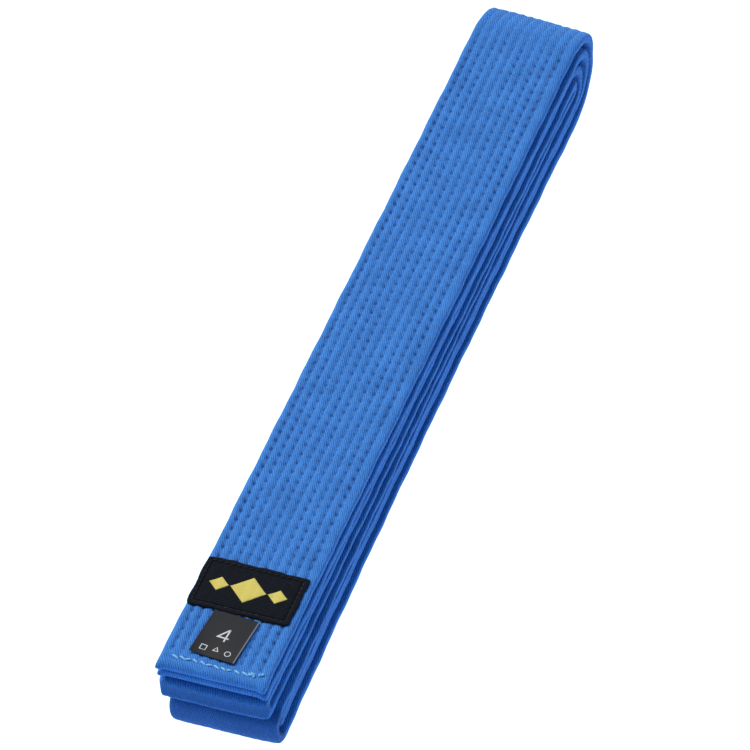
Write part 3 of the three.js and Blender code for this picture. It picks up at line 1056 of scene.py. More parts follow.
class WovenLabel:
    """The black woven label with its border stitching and a plain motif of three lozenges."""

    THICKNESS = 0.42
    OVER_CLOTH = 0.1
    PRINT_SHARE = 0.12  # how much of the cloth's ridges shows through, and up to what depth
    PRINT_LIMIT = 0.8
    EDGE_ROLL = 0.2
    CROWN = 0.16
    BORDER = 0.16
    BORDER_WIDTH = 1.4
    GROOVE = 0.34
    GROOVE_INSET = 2.1
    PUCKER = 0.07
    PUCKER_INSET = 1.2
    STITCH = 2.3
    STITCH_RADIUS = 0.15
    STITCH_GAP = 0.05
    STITCH_SINK = 0.2
    STITCH_RISE = 0.32
    STITCH_RINGS = 7
    STITCH_SIDES = 6
    COLUMNS = 186
    ROWS = 122
    CORNER = 0.45
    SATIN_THREAD = 0.42
    SATIN_RISE = 0.2
    SATIN_RIDGE = 0.09

    def __init__(self, route: StrapRoute, quilting: Quilting) -> None:
        """Takes the label's place from the frame."""
        self.route = route
        self.quilting = quilting
        low, high = box_mm("woven_label")
        self.low = np.array([low[0], low[1] - route.near_y])
        self.high = np.array([high[0], high[1] - route.near_y])
        inner_low, inner_high = box_mm("label_stitching")
        self.stitch_low = np.array([inner_low[0], inner_low[1] - route.near_y])
        self.stitch_high = np.array([inner_high[0], inner_high[1] - route.near_y])

    def top(self, x: np.ndarray, s: np.ndarray) -> np.ndarray:
        """The height of the label's upper side: the cloth's outline, a soft print of its ridges, a raised
        border, the groove that the stitching pulls down and small puckers along the edges."""
        sink = self.quilting.sink(x, s)
        from_side = np.minimum(x - self.low[0], self.high[0] - x)
        from_end = np.minimum(s - self.low[1], self.high[1] - s)
        from_edge = np.minimum(from_side, from_end)
        wave = np.sin(2.0 * math.pi * (x + s) / self.STITCH)
        pucker = self.PUCKER * wave * bell(from_edge - self.PUCKER_INSET, 1.3)
        pull = self.GROOVE * bell(from_edge - self.GROOVE_INSET, 0.5)
        border = self.BORDER * (1.0 - smooth(self.BORDER_WIDTH, 2.2, from_edge))
        roll = self.EDGE_ROLL * (1.0 - smooth(0.0, 0.7, from_edge))
        crown = self.CROWN * smooth(1.0, 7.0, from_edge)
        show = self.PRINT_SHARE * np.minimum(sink, self.PRINT_LIMIT)
        base = self.route.half_thickness - show + self.THICKNESS + self.OVER_CLOTH
        return base + crown + border + pucker - pull - roll

    def build(self, weave: bpy.types.Material, thread: bpy.types.Material, motif: bpy.types.Material) -> None:
        """Makes the label, its border stitches and the motif.

        Args:
            weave: the label's finish.
            thread: the border thread's finish.
            motif: the motif's finish.
        """
        x, s, a, b = patch_grid(self.low, self.high, self.COLUMNS, self.ROWS, self.CORNER)
        x = x + 0.16 * np.sin(s / 1.9 + 0.5) * np.abs(a) ** 12
        s = s + (0.2 * np.sin(x / 2.3) + 0.12 * np.sin(x / 0.9)) * np.abs(b) ** 12
        height = self.top(x, s)
        top = self.route.place(x, s, height)
        bottom = self.route.place(x, s, height - self.THICKNESS)
        surface = slab(top, bottom, x[0], s[:, 0])
        label = surface.to_object("label_cloth", weave)
        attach(label, "labelled_end")
        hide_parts("woven_label")
        self._stitch_border(thread)
        self._embroider(motif)

    def _stitch_border(self, thread: bpy.types.Material) -> None:
        """Short stitches end to end along the four sides of the label's border."""
        (x0, s0), (x1, s1) = self.stitch_low, self.stitch_high
        corners = np.array([[x0, s0], [x1, s0], [x1, s1], [x0, s1], [x0, s0]])
        starts: list[np.ndarray] = []
        ends: list[np.ndarray] = []
        for start, end in zip(corners[:-1], corners[1:]):
            count = int(round(float(np.hypot(*(end - start))) / self.STITCH))
            t = np.linspace(0.0, 1.0, count + 1)[:, None]
            marks = start + (end - start) * t
            starts.append(marks[:-1] + self.STITCH_GAP * (end - start) / count)
            ends.append(marks[1:] - self.STITCH_GAP * (end - start) / count)
        first, last = np.concatenate(starts), np.concatenate(ends)
        t = np.linspace(0.0, 1.0, self.STITCH_RINGS)[None, :]
        line = first[:, None, :] + (last - first)[:, None, :] * t[..., None]
        crest = np.sqrt(np.sin(math.pi * t))
        height = self.top(line[..., 0], line[..., 1]) - self.STITCH_SINK + self.STITCH_RISE * crest
        angle = 2.0 * math.pi * (np.arange(self.STITCH_SIDES) + 0.5) / self.STITCH_SIDES
        way = (last - first) / np.hypot(*(last - first).T)[:, None]
        radius = self.STITCH_RADIUS
        x = line[..., 0, None] + way[:, 1, None, None] * radius * np.cos(angle)
        s = line[..., 1, None] - way[:, 0, None, None] * radius * np.cos(angle)
        points = self.route.place(x, s, height[..., None] + radius * np.sin(angle))
        surface = copies_of_tube(points, radius, self.STITCH)
        piece = surface.to_object("label_border_thread", thread)
        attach(piece, "labelled_end")
        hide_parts("label_stitching")

    def _embroider(self, motif: bpy.types.Material) -> None:
        """Three lozenges of satin stitch: each thread a rounded ridge across the lozenge.

        With a from -1 to 1 across and b from -1 to 1 along, a lozenge's point lies at a and b times what
        its slanting sides leave at a. The height is a pillow in b plus a row of half-sine threads in a.
        """
        for side in ("left", "middle", "right"):
            low, high = box_mm(f"emblem_lozenge_{side}")
            centre = np.array([(low[0] + high[0]) / 2.0, (low[1] + high[1]) / 2.0 - self.route.near_y])
            half_x, half_s = (high[0] - low[0]) / 2.0, (high[1] - low[1]) / 2.0
            threads = int(round(2.0 * half_x / self.SATIN_THREAD))
            a = np.linspace(-1.0, 1.0, threads * 5 + 1)[None, :]
            b = np.linspace(-1.0, 1.0, 23)[:, None]
            reach = np.maximum(1.0 - np.abs(a), 0.03)
            x = centre[0] + half_x * a + 0.0 * b
            s = centre[1] + half_s * reach * b * (1.0 + 0.02 * np.sin(9.0 * a * threads))
            ridge = np.abs(np.sin(math.pi * threads * (a + 1.0) / 2.0))
            pillow = np.sqrt(np.maximum(1.0 - b**4, 0.0))
            height = self.top(x, s) + 0.03 + (self.SATIN_RISE + self.SATIN_RIDGE * ridge) * pillow
            top = self.route.place(x, s, height)
            bottom = self.route.place(x, s, self.top(x, s) - 0.05)
            piece = slab(top, bottom, x[0], s[:, x.shape[1] // 2]).to_object(f"motif_{side}", motif)
            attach(piece, "labelled_end")
            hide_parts(f"emblem_lozenge_{side}")


class SizeTag:
    """The satin size tag: a strip caught under the label and a free flap with plain printed marks."""

    THICKNESS = 0.16
    OVER_CLOTH = 0.12
    TWIST = math.radians(-5.0)
    LIFT = 0.9
    MIDDLE_LIFT = 0.35  # the share of the lift that the middle of the free edge takes
    BELLY = 0.28
    WAVE = 0.1
    RIM = 0.05
    COLUMNS = 60
    ROWS = 72
    TUCK_THICKNESS = 0.12
    SHARPEST_BEND = 0.35
    STROKE = 0.62
    FINE_STROKE = 0.3
    INK = 0.05

    def __init__(self, route: StrapRoute, quilting: Quilting) -> None:
        """Takes the flap's place from the frame."""
        self.route = route
        self.quilting = quilting
        low, high = box_mm("size_tag")
        self.middle_x = (low[0] + high[0]) / 2.0
        self.half_width = (high[0] - low[0]) / 2.0
        self.far_s = high[1] - route.near_y
        self.length = high[1] - low[1]

    def place(self, across: np.ndarray, down: np.ndarray, above: np.ndarray) -> np.ndarray:
        """Points of the flap: turned a little about its middle, then laid on the strap.

        The flap leaves the label's edge on top of the cloth and lifts slightly towards its free corners,
        by the square of the distance down and a slow wave across.

        Args:
            across: place from the flap's middle.
            down: distance from its sewn edge.
            above: height over the flap's underside.

        Returns:
            Points in millimetres.
        """
        half = self.length / 2.0
        turn_x = across * math.cos(self.TWIST) + (down - half) * math.sin(self.TWIST)
        turn_s = (down - half) * math.cos(self.TWIST) - across * math.sin(self.TWIST)
        x = self.middle_x + turn_x
        s = self.far_s - half - turn_s
        share = np.clip(down / self.length, 0.0, 1.0)
        corners = (1.0 - self.MIDDLE_LIFT) * (across / self.half_width) ** 2
        lift = self.LIFT * share**2 * (self.MIDDLE_LIFT + corners)
        belly = self.BELLY * np.sin(math.pi * share)
        bend = self.WAVE * np.sin(across / 2.6 + 0.7) * share
        height = self.route.half_thickness + self.OVER_CLOTH + lift + belly + bend + above
        return self.route.place(x, s, height)

    def build(self, satin: bpy.types.Material, ink: bpy.types.Material) -> None:
        """Makes the flap, the strip under the label, the numeral and the care marks.

        Args:
            satin: the ribbon's finish.
            ink: the print's finish.
        """
        across = np.linspace(-self.half_width, self.half_width, self.COLUMNS)[None, :]
        down = np.linspace(0.0, self.length, self.ROWS)[:, None]
        nick = 0.09 * np.sin(across * 5.1) + 0.06 * np.sin(across * 11.3 + 1.0)
        reach = down + nick * smooth(0.94, 1.0, down / self.length)
        rim = self.RIM * bell(self.half_width - np.abs(across), 0.35)
        top = self.place(across, reach, self.THICKNESS + rim)
        bottom = self.place(across, reach, np.zeros_like(rim))
        # Painted highlight along the flap's right edge, as if the edge caught the light.
        painted_edge_highlight = smooth(self.half_width - 0.42, self.half_width - 0.2, across) + 0.0 * down
        flap = slab(top, bottom, across[0], down[:, 0], painted_edge_highlight).to_object("tag_flap_ribbon", satin)
        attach(flap, "tag_flap")
        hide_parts("size_tag")
        self._tuck(satin)
        self._print(ink)

    def _tuck(self, satin: bpy.types.Material) -> None:
        """The strip of ribbon that the label's seam holds, flat on the cloth under the label."""
        low, high = box_mm("size_tag_tuck")
        x = np.linspace(low[0] + 0.1, high[0] - 0.1, 30)[None, :]
        s = np.linspace(low[1], high[1], 10)[:, None] - self.route.near_y
        base = self.route.half_thickness + 0.02 + 0.0 * (x + s)
        top = self.route.place(x, s, base + self.TUCK_THICKNESS)
        bottom = self.route.place(x, s, base)
        tuck = slab(top, bottom, x[0], s[:, 0]).to_object("tag_tuck_ribbon", satin)
        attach(tuck, "labelled_end")
        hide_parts("size_tag_tuck")

    def _stroke(self, path: np.ndarray, width: float, closed: bool = False) -> Surface:
        """A printed line of even width along a path on the flap.

        At each point of the path, its two sides lie half a width out along the path's normal, lengthened at
        bends so that the width stays even, and the ink is a thin layer between them.

        Args:
            path: points across and down.
            width: of the line.
            closed: whether the path ends where it starts.

        Returns:
            The closed layer of ink.
        """
        if closed:
            path = np.concatenate([path, path[:1]])
        way = np.diff(path, axis=0)
        way = way / np.hypot(way[:, 0], way[:, 1])[:, None]
        if closed:
            before, after = np.roll(way, 1, axis=0), way
            before = np.concatenate([before, before[:1]])
            after = np.concatenate([after, after[:1]])
        else:
            before = np.concatenate([way[:1], way])
            after = np.concatenate([way, way[-1:]])
        mean = before + after
        mean = mean / np.hypot(mean[:, 0], mean[:, 1])[:, None]
        normal = np.stack([-mean[:, 1], mean[:, 0]], axis=-1)
        stretch = 1.0 / np.maximum(np.einsum("ij,ij->i", mean, after), self.SHARPEST_BEND)
        side = normal * (width / 2.0 * stretch)[:, None]
        sides = np.linspace(-1.0, 1.0, 4)[None, :, None]
        points = path[:, None, :] + side[:, None, :] * sides
        top = self.place(points[..., 0], points[..., 1], np.array(self.THICKNESS + self.INK))
        bottom = self.place(points[..., 0], points[..., 1], np.array(self.THICKNESS - 0.02))
        return slab(top, bottom, np.linspace(0.0, width, 4), np.linspace(0.0, 1.0, len(path)))

    def _print(self, ink: bpy.types.Material) -> None:
        """A plain figure four in three strokes, and a row of three care marks."""
        low, high = box_mm("size_numeral")
        half_w, half_h = (high[0] - low[0]) / 2.0, (high[1] - low[1]) / 2.0
        middle = self.far_s - ((low[1] + high[1]) / 2.0 - self.route.near_y)
        upright = half_w * 0.42
        bar = middle + half_h * 0.42
        densify = np.linspace(0.0, 1.0, 9)[:, None]
        slant_start, slant_end = np.array([upright, middle - half_h]), np.array([-half_w, bar])
        bar_end = np.array([half_w, bar])
        base = np.array([upright, middle + half_h])
        slanting = slant_start + (slant_end - slant_start) * densify
        level = slant_end + (bar_end - slant_end) * densify
        standing = slant_start + (base - slant_start) * densify
        open_path = np.concatenate([slanting, level[1:]])
        numeral = Surface.join([self._stroke(open_path, self.STROKE), self._stroke(standing, self.STROKE)])
        self._finish_print(numeral, "tag_numeral", "size_numeral", ink)
        self._print_marks(ink)

    def _print_marks(self, ink: bpy.types.Material) -> None:
        """A square, a triangle and a ring, each an even line round its outline."""
        outlines = {"square": 4, "triangle": 3, "ring": 28}
        for name, corners in outlines.items():
            low, high = box_mm(f"care_mark_{name}")
            centre_x = (low[0] + high[0]) / 2.0 - self.middle_x
            centre_down = self.far_s - ((low[1] + high[1]) / 2.0 - self.route.near_y)
            half = (high[0] - low[0]) / 2.0 - self.FINE_STROKE / 2.0
            radius = half / math.cos(math.pi / 4.0) if corners == 4 else half
            turn = math.pi / 4.0 if corners == 4 else -math.pi / 2.0
            angle = turn + 2.0 * math.pi * np.arange(corners) / corners
            across = centre_x + radius * np.cos(angle)
            down = centre_down + radius * np.sin(angle)
            path = np.stack([across, down], axis=-1)
            mark = self._stroke(path, self.FINE_STROKE, closed=True)
            self._finish_print(mark, f"tag_{name}", f"care_mark_{name}", ink)

    def _finish_print(self, surface: Surface, name: str, node: str, ink: bpy.types.Material) -> None:
        """Writes a printed mark and ties it to the flap."""
        piece = surface.to_object(name, ink)
        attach(piece, "tag_flap")
        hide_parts(node)


# ---------------------------------------------------------------------------------------------------------
# Finishes
# ---------------------------------------------------------------------------------------------------------

Colour = tuple[float, float, float]


class Shader:
    """A material's node tree with a Principled shader, and short ways to add to it."""

    def __init__(self, tree: bpy.types.NodeTree) -> None:
        """Wraps a node tree."""
        self.tree = tree

    @classmethod
    def material(cls, name: str) -> "tuple[bpy.types.Material, Shader, bpy.types.Node]":
        """A new material with only an output and a Principled shader.

        Args:
            name: the material's name.

        Returns:
            The material, its wrapped tree and its Principled node.
        """
        made = bpy.data.materials.new(name)
        made.use_nodes = True
        made.node_tree.nodes.clear()
        shader = cls(made.node_tree)
        output = shader.node("ShaderNodeOutputMaterial")
        principled = shader.node("ShaderNodeBsdfPrincipled")
        shader.link(principled.outputs["BSDF"], output.inputs["Surface"])
        return made, shader, principled

    def node(self, kind: str, **settings: object) -> bpy.types.Node:
        """A new node with its properties set."""
        made = self.tree.nodes.new(kind)
        for key, value in settings.items():
            setattr(made, key, value)
        return made

    def link(self, source: bpy.types.NodeSocket, target: bpy.types.NodeSocket) -> None:
        """Joins an output to an input."""
        self.tree.links.new(source, target)

    def feed(self, target: bpy.types.NodeSocket, value: object) -> None:
        """Sets an input to a number or colour, or joins it to an output."""
        if isinstance(value, bpy.types.NodeSocket):
            self.link(value, target)
        else:
            target.default_value = value

    def math(self, operation: str, first: object, second: object = 0.0) -> bpy.types.NodeSocket:
        """A Math node's result."""
        made = self.node("ShaderNodeMath", operation=operation)
        self.feed(made.inputs[0], first)
        self.feed(made.inputs[1], second)
        return made.outputs[0]

    def mix(self, factor: object, first: object, second: object) -> bpy.types.NodeSocket:
        """Two colours mixed."""
        made = self.node("ShaderNodeMix", data_type="RGBA")
        self.feed(made.inputs["Factor"], factor)
        self.feed(made.inputs[6], first)
        self.feed(made.inputs[7], second)
        return made.outputs[2]

    def noise(self, vector: bpy.types.NodeSocket, scale: float, detail: float = 3.0) -> bpy.types.NodeSocket:
        """A noise value from 0 to 1."""
        made = self.node("ShaderNodeTexNoise")
        self.link(vector, made.inputs["Vector"])
        made.inputs["Scale"].default_value = scale
        made.inputs["Detail"].default_value = detail
        return made.outputs["Fac"]

    def ramp(self, value: bpy.types.NodeSocket, low: float, high: float) -> bpy.types.NodeSocket:
        """A value moved from the span low to high onto 0 to 1, and kept there."""
        made = self.node("ShaderNodeMapRange", clamp=True)
        self.link(value, made.inputs["Value"])
        made.inputs["From Min"].default_value = low
        made.inputs["From Max"].default_value = high
        return made.outputs["Result"]

    def bump(self, height: bpy.types.NodeSocket, strength: float, distance: float) -> bpy.types.NodeSocket:
        """A normal bent by a height."""
        made = self.node("ShaderNodeBump")
        made.inputs["Strength"].default_value = strength
        made.inputs["Distance"].default_value = distance
        self.link(height, made.inputs["Height"])
        return made.outputs["Normal"]

    def group(self, tree: bpy.types.NodeTree, **inputs: object) -> bpy.types.Node:
        """A placed node group with its inputs fed by name."""
        made = self.node("ShaderNodeGroup", node_tree=tree)
        for key, value in inputs.items():
            self.feed(made.inputs[key], value)
        return made

    def cloth_uv(self) -> bpy.types.NodeSocket:
        """The piece's own UV map, in centimetres of cloth."""
        return self.node("ShaderNodeUVMap", uv_map="cloth").outputs["UV"]


def new_group(
    name: str, inputs: dict[str, float], outputs: tuple[str, ...]
) -> tuple[Shader, dict[str, bpy.types.NodeSocket], bpy.types.Node]:
    """A shader node group with a Vector input, named numbers and value outputs.

    Args:
        name: the group's name.
        inputs: each number's name and default.
        outputs: the values that it puts out.

    Returns:
        The wrapped tree, its inputs' sockets by name, and its output node.
    """
    tree = bpy.data.node_groups.new(name, "ShaderNodeTree")
    tree.interface.new_socket("Vector", in_out="INPUT", socket_type="NodeSocketVector")
    for key, value in inputs.items():
        socket = tree.interface.new_socket(key, in_out="INPUT", socket_type="NodeSocketFloat")
        socket.default_value = value
    for key in outputs:
        tree.interface.new_socket(key, in_out="OUTPUT", socket_type="NodeSocketFloat")
    shader = Shader(tree)
    entry = shader.node("NodeGroupInput")
    leave = shader.node("NodeGroupOutput")
    return shader, {socket.name: socket for socket in entry.outputs}, leave


def twill_group() -> bpy.types.NodeTree:
    """Twill: slanting ribs with fine yarns across them, wandering slightly.

    The ribs are a sine of the place along a slanted direction over the spacing, moved by low noise. The
    yarns are a faster sine at right angles. Height adds both, and Tone is the ribs with grain on them.
    """
    shader, inputs, leave = new_group(
        "twill_weave", {"Spacing": 0.08, "Slant": 0.45, "Wander": 0.5}, ("Height", "Tone")
    )
    split = shader.node("ShaderNodeSeparateXYZ")
    shader.link(inputs["Vector"], split.inputs[0])
    patches = shader.ramp(shader.noise(inputs["Vector"], 6.0, 3.0), 0.3, 0.65)
    u, v = split.outputs["X"], split.outputs["Y"]
    slow = shader.noise(inputs["Vector"], 1.7, 2.0)
    quick = shader.noise(inputs["Vector"], 14.0, 3.0)
    leaning = shader.math("ADD", u, shader.math("MULTIPLY", v, inputs["Slant"]))
    rib = shader.math("DIVIDE", leaning, inputs["Spacing"])
    both = shader.math("ADD", slow, shader.math("MULTIPLY", quick, 0.8))
    drift = shader.math("MULTIPLY", both, inputs["Wander"])
    phase = shader.math("MULTIPLY", shader.math("ADD", rib, drift), 2.0 * math.pi)
    swing = shader.math("MULTIPLY", shader.math("MULTIPLY_ADD", patches, 0.35), shader.math("SINE", phase))
    swing.node.inputs[0].links[0].from_node.inputs[2].default_value = 0.15
    ribs = shader.math("ADD", swing, 0.5)
    crossing = shader.math("SUBTRACT", shader.math("MULTIPLY", u, 0.6), v)
    yarn_phase = shader.math("MULTIPLY", shader.math("DIVIDE", crossing, inputs["Spacing"]), 3.1 * math.pi)
    yarns = shader.math("MULTIPLY_ADD", shader.math("SINE", yarn_phase), 0.5)
    yarns.node.inputs[2].default_value = 0.5
    grain = shader.noise(inputs["Vector"], 26.0, 5.0)
    height = shader.math("ADD", shader.math("MULTIPLY", ribs, 0.7), shader.math("MULTIPLY", yarns, 0.12))
    height = shader.math("ADD", height, shader.math("MULTIPLY", grain, 0.7))
    tone = shader.math("ADD", shader.math("MULTIPLY", ribs, 0.55), shader.math("MULTIPLY", grain, 0.65))
    shader.link(height, leave.inputs["Height"])
    shader.link(tone, leave.inputs["Tone"])
    return shader.tree


def blotch_group() -> bpy.types.NodeTree:
    """Slow unevenness of dye and handling: two scales of noise put together as one value."""
    shader, inputs, leave = new_group("dye_blotches", {"Scale": 1.0}, ("Value",))
    scaled = shader.node("ShaderNodeVectorMath", operation="SCALE")
    shader.link(inputs["Vector"], scaled.inputs[0])
    shader.link(inputs["Scale"], scaled.inputs["Scale"])
    wide = shader.noise(scaled.outputs[0], 0.9, 2.0)
    close = shader.noise(scaled.outputs[0], 7.0, 4.0)
    both = shader.math("ADD", shader.math("MULTIPLY", wide, 0.6), shader.math("MULTIPLY", close, 0.4))
    shader.link(both, leave.inputs["Value"])
    return shader.tree


@dataclass(frozen=True)
class ClothFinish:
    """Dyed cotton twill: ribs, lighter and darker twill by the weave's tone and blotches of dye, and painted
    shade that darkens the quilting's valleys, pits, rolled edges and near folds.
    """

    name: str
    crest: Colour
    base: Colour
    # valley: the colour of the painted shade, taken where the quilting is deep and on near folds
    valley: Colour
    spacing: float = 0.09
    slant: float = 0.55
    deep: float = 1.15
    roughness: float = 0.88

    def build(self, twill: bpy.types.NodeTree, blotches: bpy.types.NodeTree) -> bpy.types.Material:
        """Makes the material.

        Args:
            twill: the weave's node group.
            blotches: the dye's node group.

        Returns:
            The finished material.
        """
        made, shader, principled = Shader.material(self.name)
        uv = shader.cloth_uv()
        weave = shader.group(twill, Vector=uv, Spacing=self.spacing, Slant=self.slant, Wander=0.9)
        dye = shader.group(blotches, Vector=uv, Scale=1.0)
        # Painted shade: the colour darkens towards the valley colour where the mask says the quilting is deep
        # or a near fold is shaded.
        depth = shader.node("ShaderNodeAttribute", attribute_name="painted_light_mask").outputs["Fac"]
        painted_shade_share = shader.ramp(depth, 0.56, self.deep)
        light = shader.math("MULTIPLY", shader.ramp(weave.outputs["Tone"], 0.34, 0.84), 0.62)
        dyed = shader.math("MULTIPLY", shader.ramp(dye.outputs["Value"], 0.3, 0.7), 0.38)
        light = shader.math("ADD", light, dyed)
        colour = shader.mix(light, (*self.base, 1.0), (*self.crest, 1.0))
        colour = shader.mix(painted_shade_share, colour, (*self.valley, 1.0))
        shader.link(colour, principled.inputs["Base Color"])
        rough = shader.math("MULTIPLY_ADD", weave.outputs["Tone"], -0.08)
        rough.node.inputs[2].default_value = self.roughness
        shader.link(rough, principled.inputs["Roughness"])
        shader.link(shader.bump(weave.outputs["Height"], 0.85, 0.0004), principled.inputs["Normal"])
        principled.inputs["Sheen Weight"].default_value = 0.03
        principled.inputs["Sheen Roughness"].default_value = 0.4
        principled.inputs["Specular IOR Level"].default_value = 0.15
        return made


@dataclass(frozen=True)
class ThreadFinish:
    """Twisted sewing thread: slanting plies round the thread, with a little sheen."""

    name: str
    dark: Colour
    light: Colour
    twist: float = 0.045
    roughness: float = 0.6

    def build(self, twill: bpy.types.NodeTree) -> bpy.types.Material:
        """Makes the material from the weave group, used as the thread's plies."""
        made, shader, principled = Shader.material(self.name)
        uv = shader.cloth_uv()
        plies = shader.group(twill, Vector=uv, Spacing=self.twist, Slant=0.8, Wander=0.1)
        tone = shader.ramp(plies.outputs["Tone"], 0.2, 0.9)
        colour = shader.mix(tone, (*self.dark, 1.0), (*self.light, 1.0))
        shader.link(colour, principled.inputs["Base Color"])
        shader.link(shader.bump(plies.outputs["Height"], 0.5, 0.0001), principled.inputs["Normal"])
        principled.inputs["Roughness"].default_value = self.roughness
        principled.inputs["Specular IOR Level"].default_value = 0.35
        return made


@dataclass(frozen=True)
class RibbedFinish:
    """Woven label or satin ribbon: fine straight ribs across the piece, and a painted highlight where the
    mask marks an edge.
    """

    name: str
    dark: Colour
    light: Colour
    rib: float
    bump: float
    roughness: float
    specular: float
    # the painted highlight's colour
    painted_edge_highlight: Colour = (0.2, 0.21, 0.23)

    def build(self, twill: bpy.types.NodeTree, blotches: bpy.types.NodeTree) -> bpy.types.Material:
        """Makes the material: ribs that follow the length alone, and blotches for colour.

        Args:
            twill: the weave's node group.
            blotches: the dye's node group.

        Returns:
            The finished material.
        """
        made, shader, principled = Shader.material(self.name)
        uv = shader.cloth_uv()
        turned = shader.node("ShaderNodeMapping")
        turned.inputs["Rotation"].default_value = (0.0, 0.0, math.pi / 2.0)
        shader.link(uv, turned.inputs["Vector"])
        ribs = shader.group(twill, Vector=turned.outputs[0], Spacing=self.rib, Slant=0.0, Wander=0.25)
        dye = shader.group(blotches, Vector=uv, Scale=3.0)
        light = shader.math("MULTIPLY", shader.ramp(ribs.outputs["Tone"], 0.2, 1.1), dye.outputs["Value"])
        colour = shader.mix(light, (*self.dark, 1.0), (*self.light, 1.0))
        # Painted highlight: paler where the mask marks an edge that catches the light.
        edge = shader.node("ShaderNodeAttribute", attribute_name="painted_light_mask").outputs["Fac"]
        colour = shader.mix(edge, colour, (*self.painted_edge_highlight, 1.0))
        shader.link(colour, principled.inputs["Base Color"])
        shader.link(shader.bump(ribs.outputs["Height"], self.bump, 0.0004), principled.inputs["Normal"])
        rough = shader.math("MULTIPLY_ADD", dye.outputs["Value"], 0.15)
        rough.node.inputs[2].default_value = self.roughness
        shader.link(rough, principled.inputs["Roughness"])
        principled.inputs["Specular IOR Level"].default_value = self.specular
        return made


@dataclass(frozen=True)
class Finishes:
    """All the belt's materials."""

    cover: bpy.types.Material
    quilting: bpy.types.Material
    hem: bpy.types.Material
    label: bpy.types.Material
    label_thread: bpy.types.Material
    emblem: bpy.types.Material
    satin: bpy.types.Material
    ink: bpy.types.Material

    @staticmethod
    def make() -> "Finishes":
        """Builds the shared node groups once and every material from them."""
        twill, blotches = twill_group(), blotch_group()
        cover = ClothFinish(
            # valley is the colour of the painted shade in the quilting's recesses and on near folds
            "cover_cloth", crest=(0.054, 0.23, 0.69), base=(0.015, 0.085, 0.3), valley=(0.006, 0.045, 0.2)
        )
        label = RibbedFinish(
            "label_weave",
            dark=(0.0001, 0.0002, 0.0006),
            light=(0.013, 0.02, 0.04),
            rib=0.1,
            bump=1.0,
            roughness=0.8,
            specular=0.12,
        )
        satin = RibbedFinish(
            "tag_satin",
            dark=(0.0022, 0.0042, 0.0088),
            light=(0.0065, 0.0105, 0.02),
            rib=0.03,
            bump=0.12,
            roughness=0.5,
            specular=0.2,
        )
        ink = RibbedFinish(
            "tag_ink",
            dark=(0.4, 0.42, 0.45),
            light=(0.55, 0.58, 0.62),
            rib=0.03,
            bump=0.08,
            roughness=0.55,
            specular=0.3,
        )
        label_thread = ThreadFinish("label_thread", (0.0008, 0.0009, 0.0014), (0.006, 0.007, 0.01))
        return Finishes(
            cover=cover.build(twill, blotches),
            quilting=ThreadFinish("quilting_thread", (0.018, 0.1, 0.35), (0.035, 0.16, 0.5)).build(twill),
            hem=ThreadFinish("hem_thread", (0.07, 0.25, 0.52), (0.18, 0.43, 0.72)).build(twill),
            label=label.build(twill, blotches),
            label_thread=label_thread.build(twill),
            emblem=ThreadFinish("emblem_thread", (0.38, 0.33, 0.06), (0.56, 0.5, 0.12), 0.02).build(twill),
            satin=satin.build(twill, blotches),
            ink=ink.build(twill, blotches),
        )


# ---------------------------------------------------------------------------------------------------------
# Studio
# ---------------------------------------------------------------------------------------------------------


@dataclass(frozen=True)
class SunLight:
    """A soft distant light: the direction it shines from, how wide it looks in degrees, and its strength."""

    name: str
    place: tuple[float, float, float]
    spread: float
    strength: float
    colour: Colour

    def build(self) -> bpy.types.Object:
        """Makes the light.

        Returns:
            The light's object.
        """
        data = bpy.data.lights.new(self.name, "SUN")
        data.angle = math.radians(self.spread)
        data.energy = self.strength
        data.color = self.colour
        light = bpy.data.objects.new(self.name, data)
        light.rotation_euler = Vector(self.place).to_track_quat("Z", "Y").to_euler()
        bpy.context.scene.collection.objects.link(light)
        return light


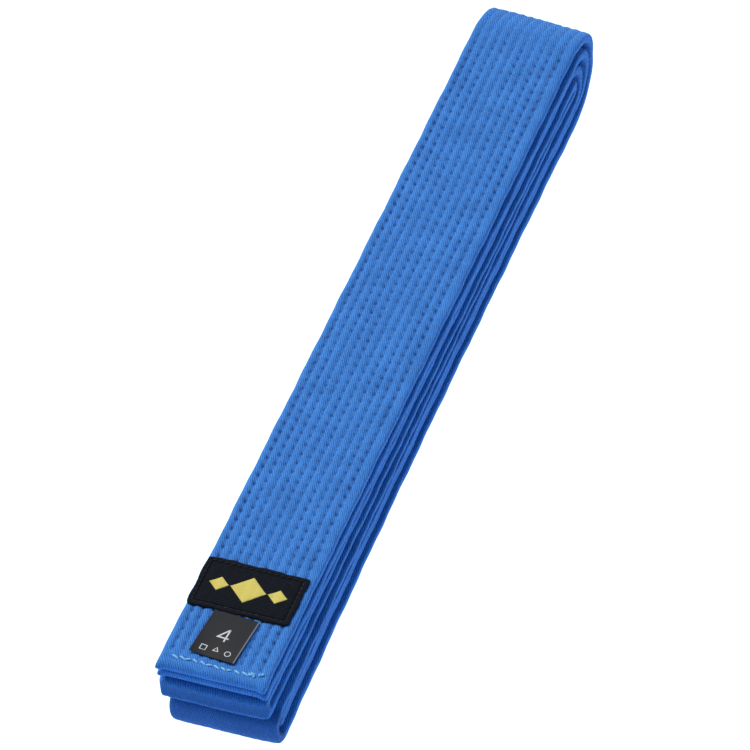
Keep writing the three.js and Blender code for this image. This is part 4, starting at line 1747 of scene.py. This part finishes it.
@dataclass(frozen=True)
class Studio:
    """A pale floor, soft lights and the camera."""

    KEY = SunLight("key_light", (-0.62, 0.3, 1.0), spread=40.0, strength=4.9, colour=(1.0, 0.84, 0.69))
    WASH = SunLight("floor_light", (0.0, 0.0, 1.0), spread=10.0, strength=5.5, colour=(0.76, 0.88, 1.0))
    FLOOR_HALF = 4.0
    FLOOR_DROP = 0.0003
    FAR_CLIP = 20.0

    azimuth: float = 21.3
    elevation: float = 48.5
    roll: float = 1.3
    distance: float = 2.56
    lens: float = 336.0
    sensor: float = 36.0
    aim: tuple[float, float, float] = (-0.00323, -0.00074, 0.01058)

    def build(self) -> None:
        """Makes the floor, the world, the lights and the camera."""
        self._floor()
        self._world()
        floor = bpy.data.objects["floor"]
        key = self.KEY.build()
        wash = self.WASH.build()
        self._light_only(wash, floor)
        self._light_all_but(key, floor)
        self._camera()

    def _floor(self) -> None:
        """A wide pale plane under the belt."""
        made, shader, principled = Shader.material("floor_paper")
        coordinates = shader.node("ShaderNodeTexCoord").outputs["Object"]
        tone = shader.ramp(shader.noise(coordinates, 3.0), 0.2, 0.8)
        colour = shader.mix(tone, (0.75, 0.76, 0.78, 1.0), (0.77, 0.78, 0.8, 1.0))
        shader.link(colour, principled.inputs["Base Color"])
        principled.inputs["Roughness"].default_value = 0.9
        half = self.FLOOR_HALF
        mesh = bpy.data.meshes.new("floor")
        corners = [(-half, -half, 0.0), (half, -half, 0.0), (half, half, 0.0), (-half, half, 0.0)]
        mesh.from_pydata(corners, [], [(0, 1, 2, 3)])
        mesh.materials.append(made)
        floor = bpy.data.objects.new("floor", mesh)
        floor.location.z = -self.FLOOR_DROP
        bpy.context.scene.collection.objects.link(floor)

    def _world(self) -> None:
        """An even bluish surrounding light, behind a nearly white backdrop."""
        world = bpy.data.worlds.new("studio")
        world.use_nodes = True
        shader = Shader(world.node_tree)
        background = world.node_tree.nodes["Background"]
        seen = shader.node("ShaderNodeLightPath").outputs["Is Camera Ray"]
        colour = shader.mix(seen, (0.2, 0.36, 0.5, 1.0), (0.93, 0.94, 0.95, 1.0))
        shader.link(colour, background.inputs["Color"])
        bpy.context.scene.world = world

    def _light_only(self, light: bpy.types.Object, receiver: bpy.types.Object) -> None:
        """Lets a light reach one object alone, with nothing in its way."""
        receivers = bpy.data.collections.new(f"{light.name}_receivers")
        receivers.objects.link(receiver)
        light.light_linking.receiver_collection = receivers
        light.light_linking.blocker_collection = receivers

    def _light_all_but(self, light: bpy.types.Object, left_out: bpy.types.Object) -> None:
        """Lets a light reach everything except one object."""
        receivers = bpy.data.collections.new(f"{light.name}_receivers")
        receivers.objects.link(left_out)
        receivers.collection_objects[0].light_linking.link_state = "EXCLUDE"
        light.light_linking.receiver_collection = receivers

    def _camera(self) -> None:
        """A long lens, looking down at the belt from its near right corner."""
        data = bpy.data.cameras.new("camera")
        data.sensor_width = self.sensor
        data.lens = self.lens
        data.clip_end = self.FAR_CLIP
        camera = bpy.data.objects.new("camera", data)
        turn, tilt = math.radians(self.azimuth), math.radians(self.elevation)
        away = Vector((math.sin(turn) * math.cos(tilt), -math.cos(turn) * math.cos(tilt), math.sin(tilt)))
        level = away.to_track_quat("Z", "Y").to_matrix()
        rotation = level @ Matrix.Rotation(math.radians(-self.roll), 3, "Z")
        camera.matrix_world = Matrix.Translation(Vector(self.aim) + away * self.distance) @ rotation.to_4x4()
        bpy.context.scene.collection.objects.link(camera)
        bpy.context.scene.camera = camera


def main() -> None:
    logging.basicConfig(level=logging.INFO, format="%(name)s: %(message)s")
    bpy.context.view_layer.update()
    bpy.context.scene.view_settings.view_transform = "Standard"
    Studio().build()
    finishes = Finishes.make()
    route = StrapRoute()
    quilting = Quilting.from_frame(route)
    LOG.info("strap: %.0f mm long in all", route.length)
    FoldedStrap(route, quilting).build(finishes.cover, finishes.quilting)
    HemStitching("hem_stitching_1", Face.FRONT, True).build(route, quilting, finishes.hem, "labelled_end")
    HemStitching("hem_stitching_2", Face.BACK, False).build(route, quilting, finishes.hem, "second_end")
    WovenLabel(route, quilting).build(finishes.label, finishes.label_thread, finishes.emblem)
    SizeTag(route, quilting).build(finishes.satin, finishes.ink)


if __name__ == "__main__":
    main()
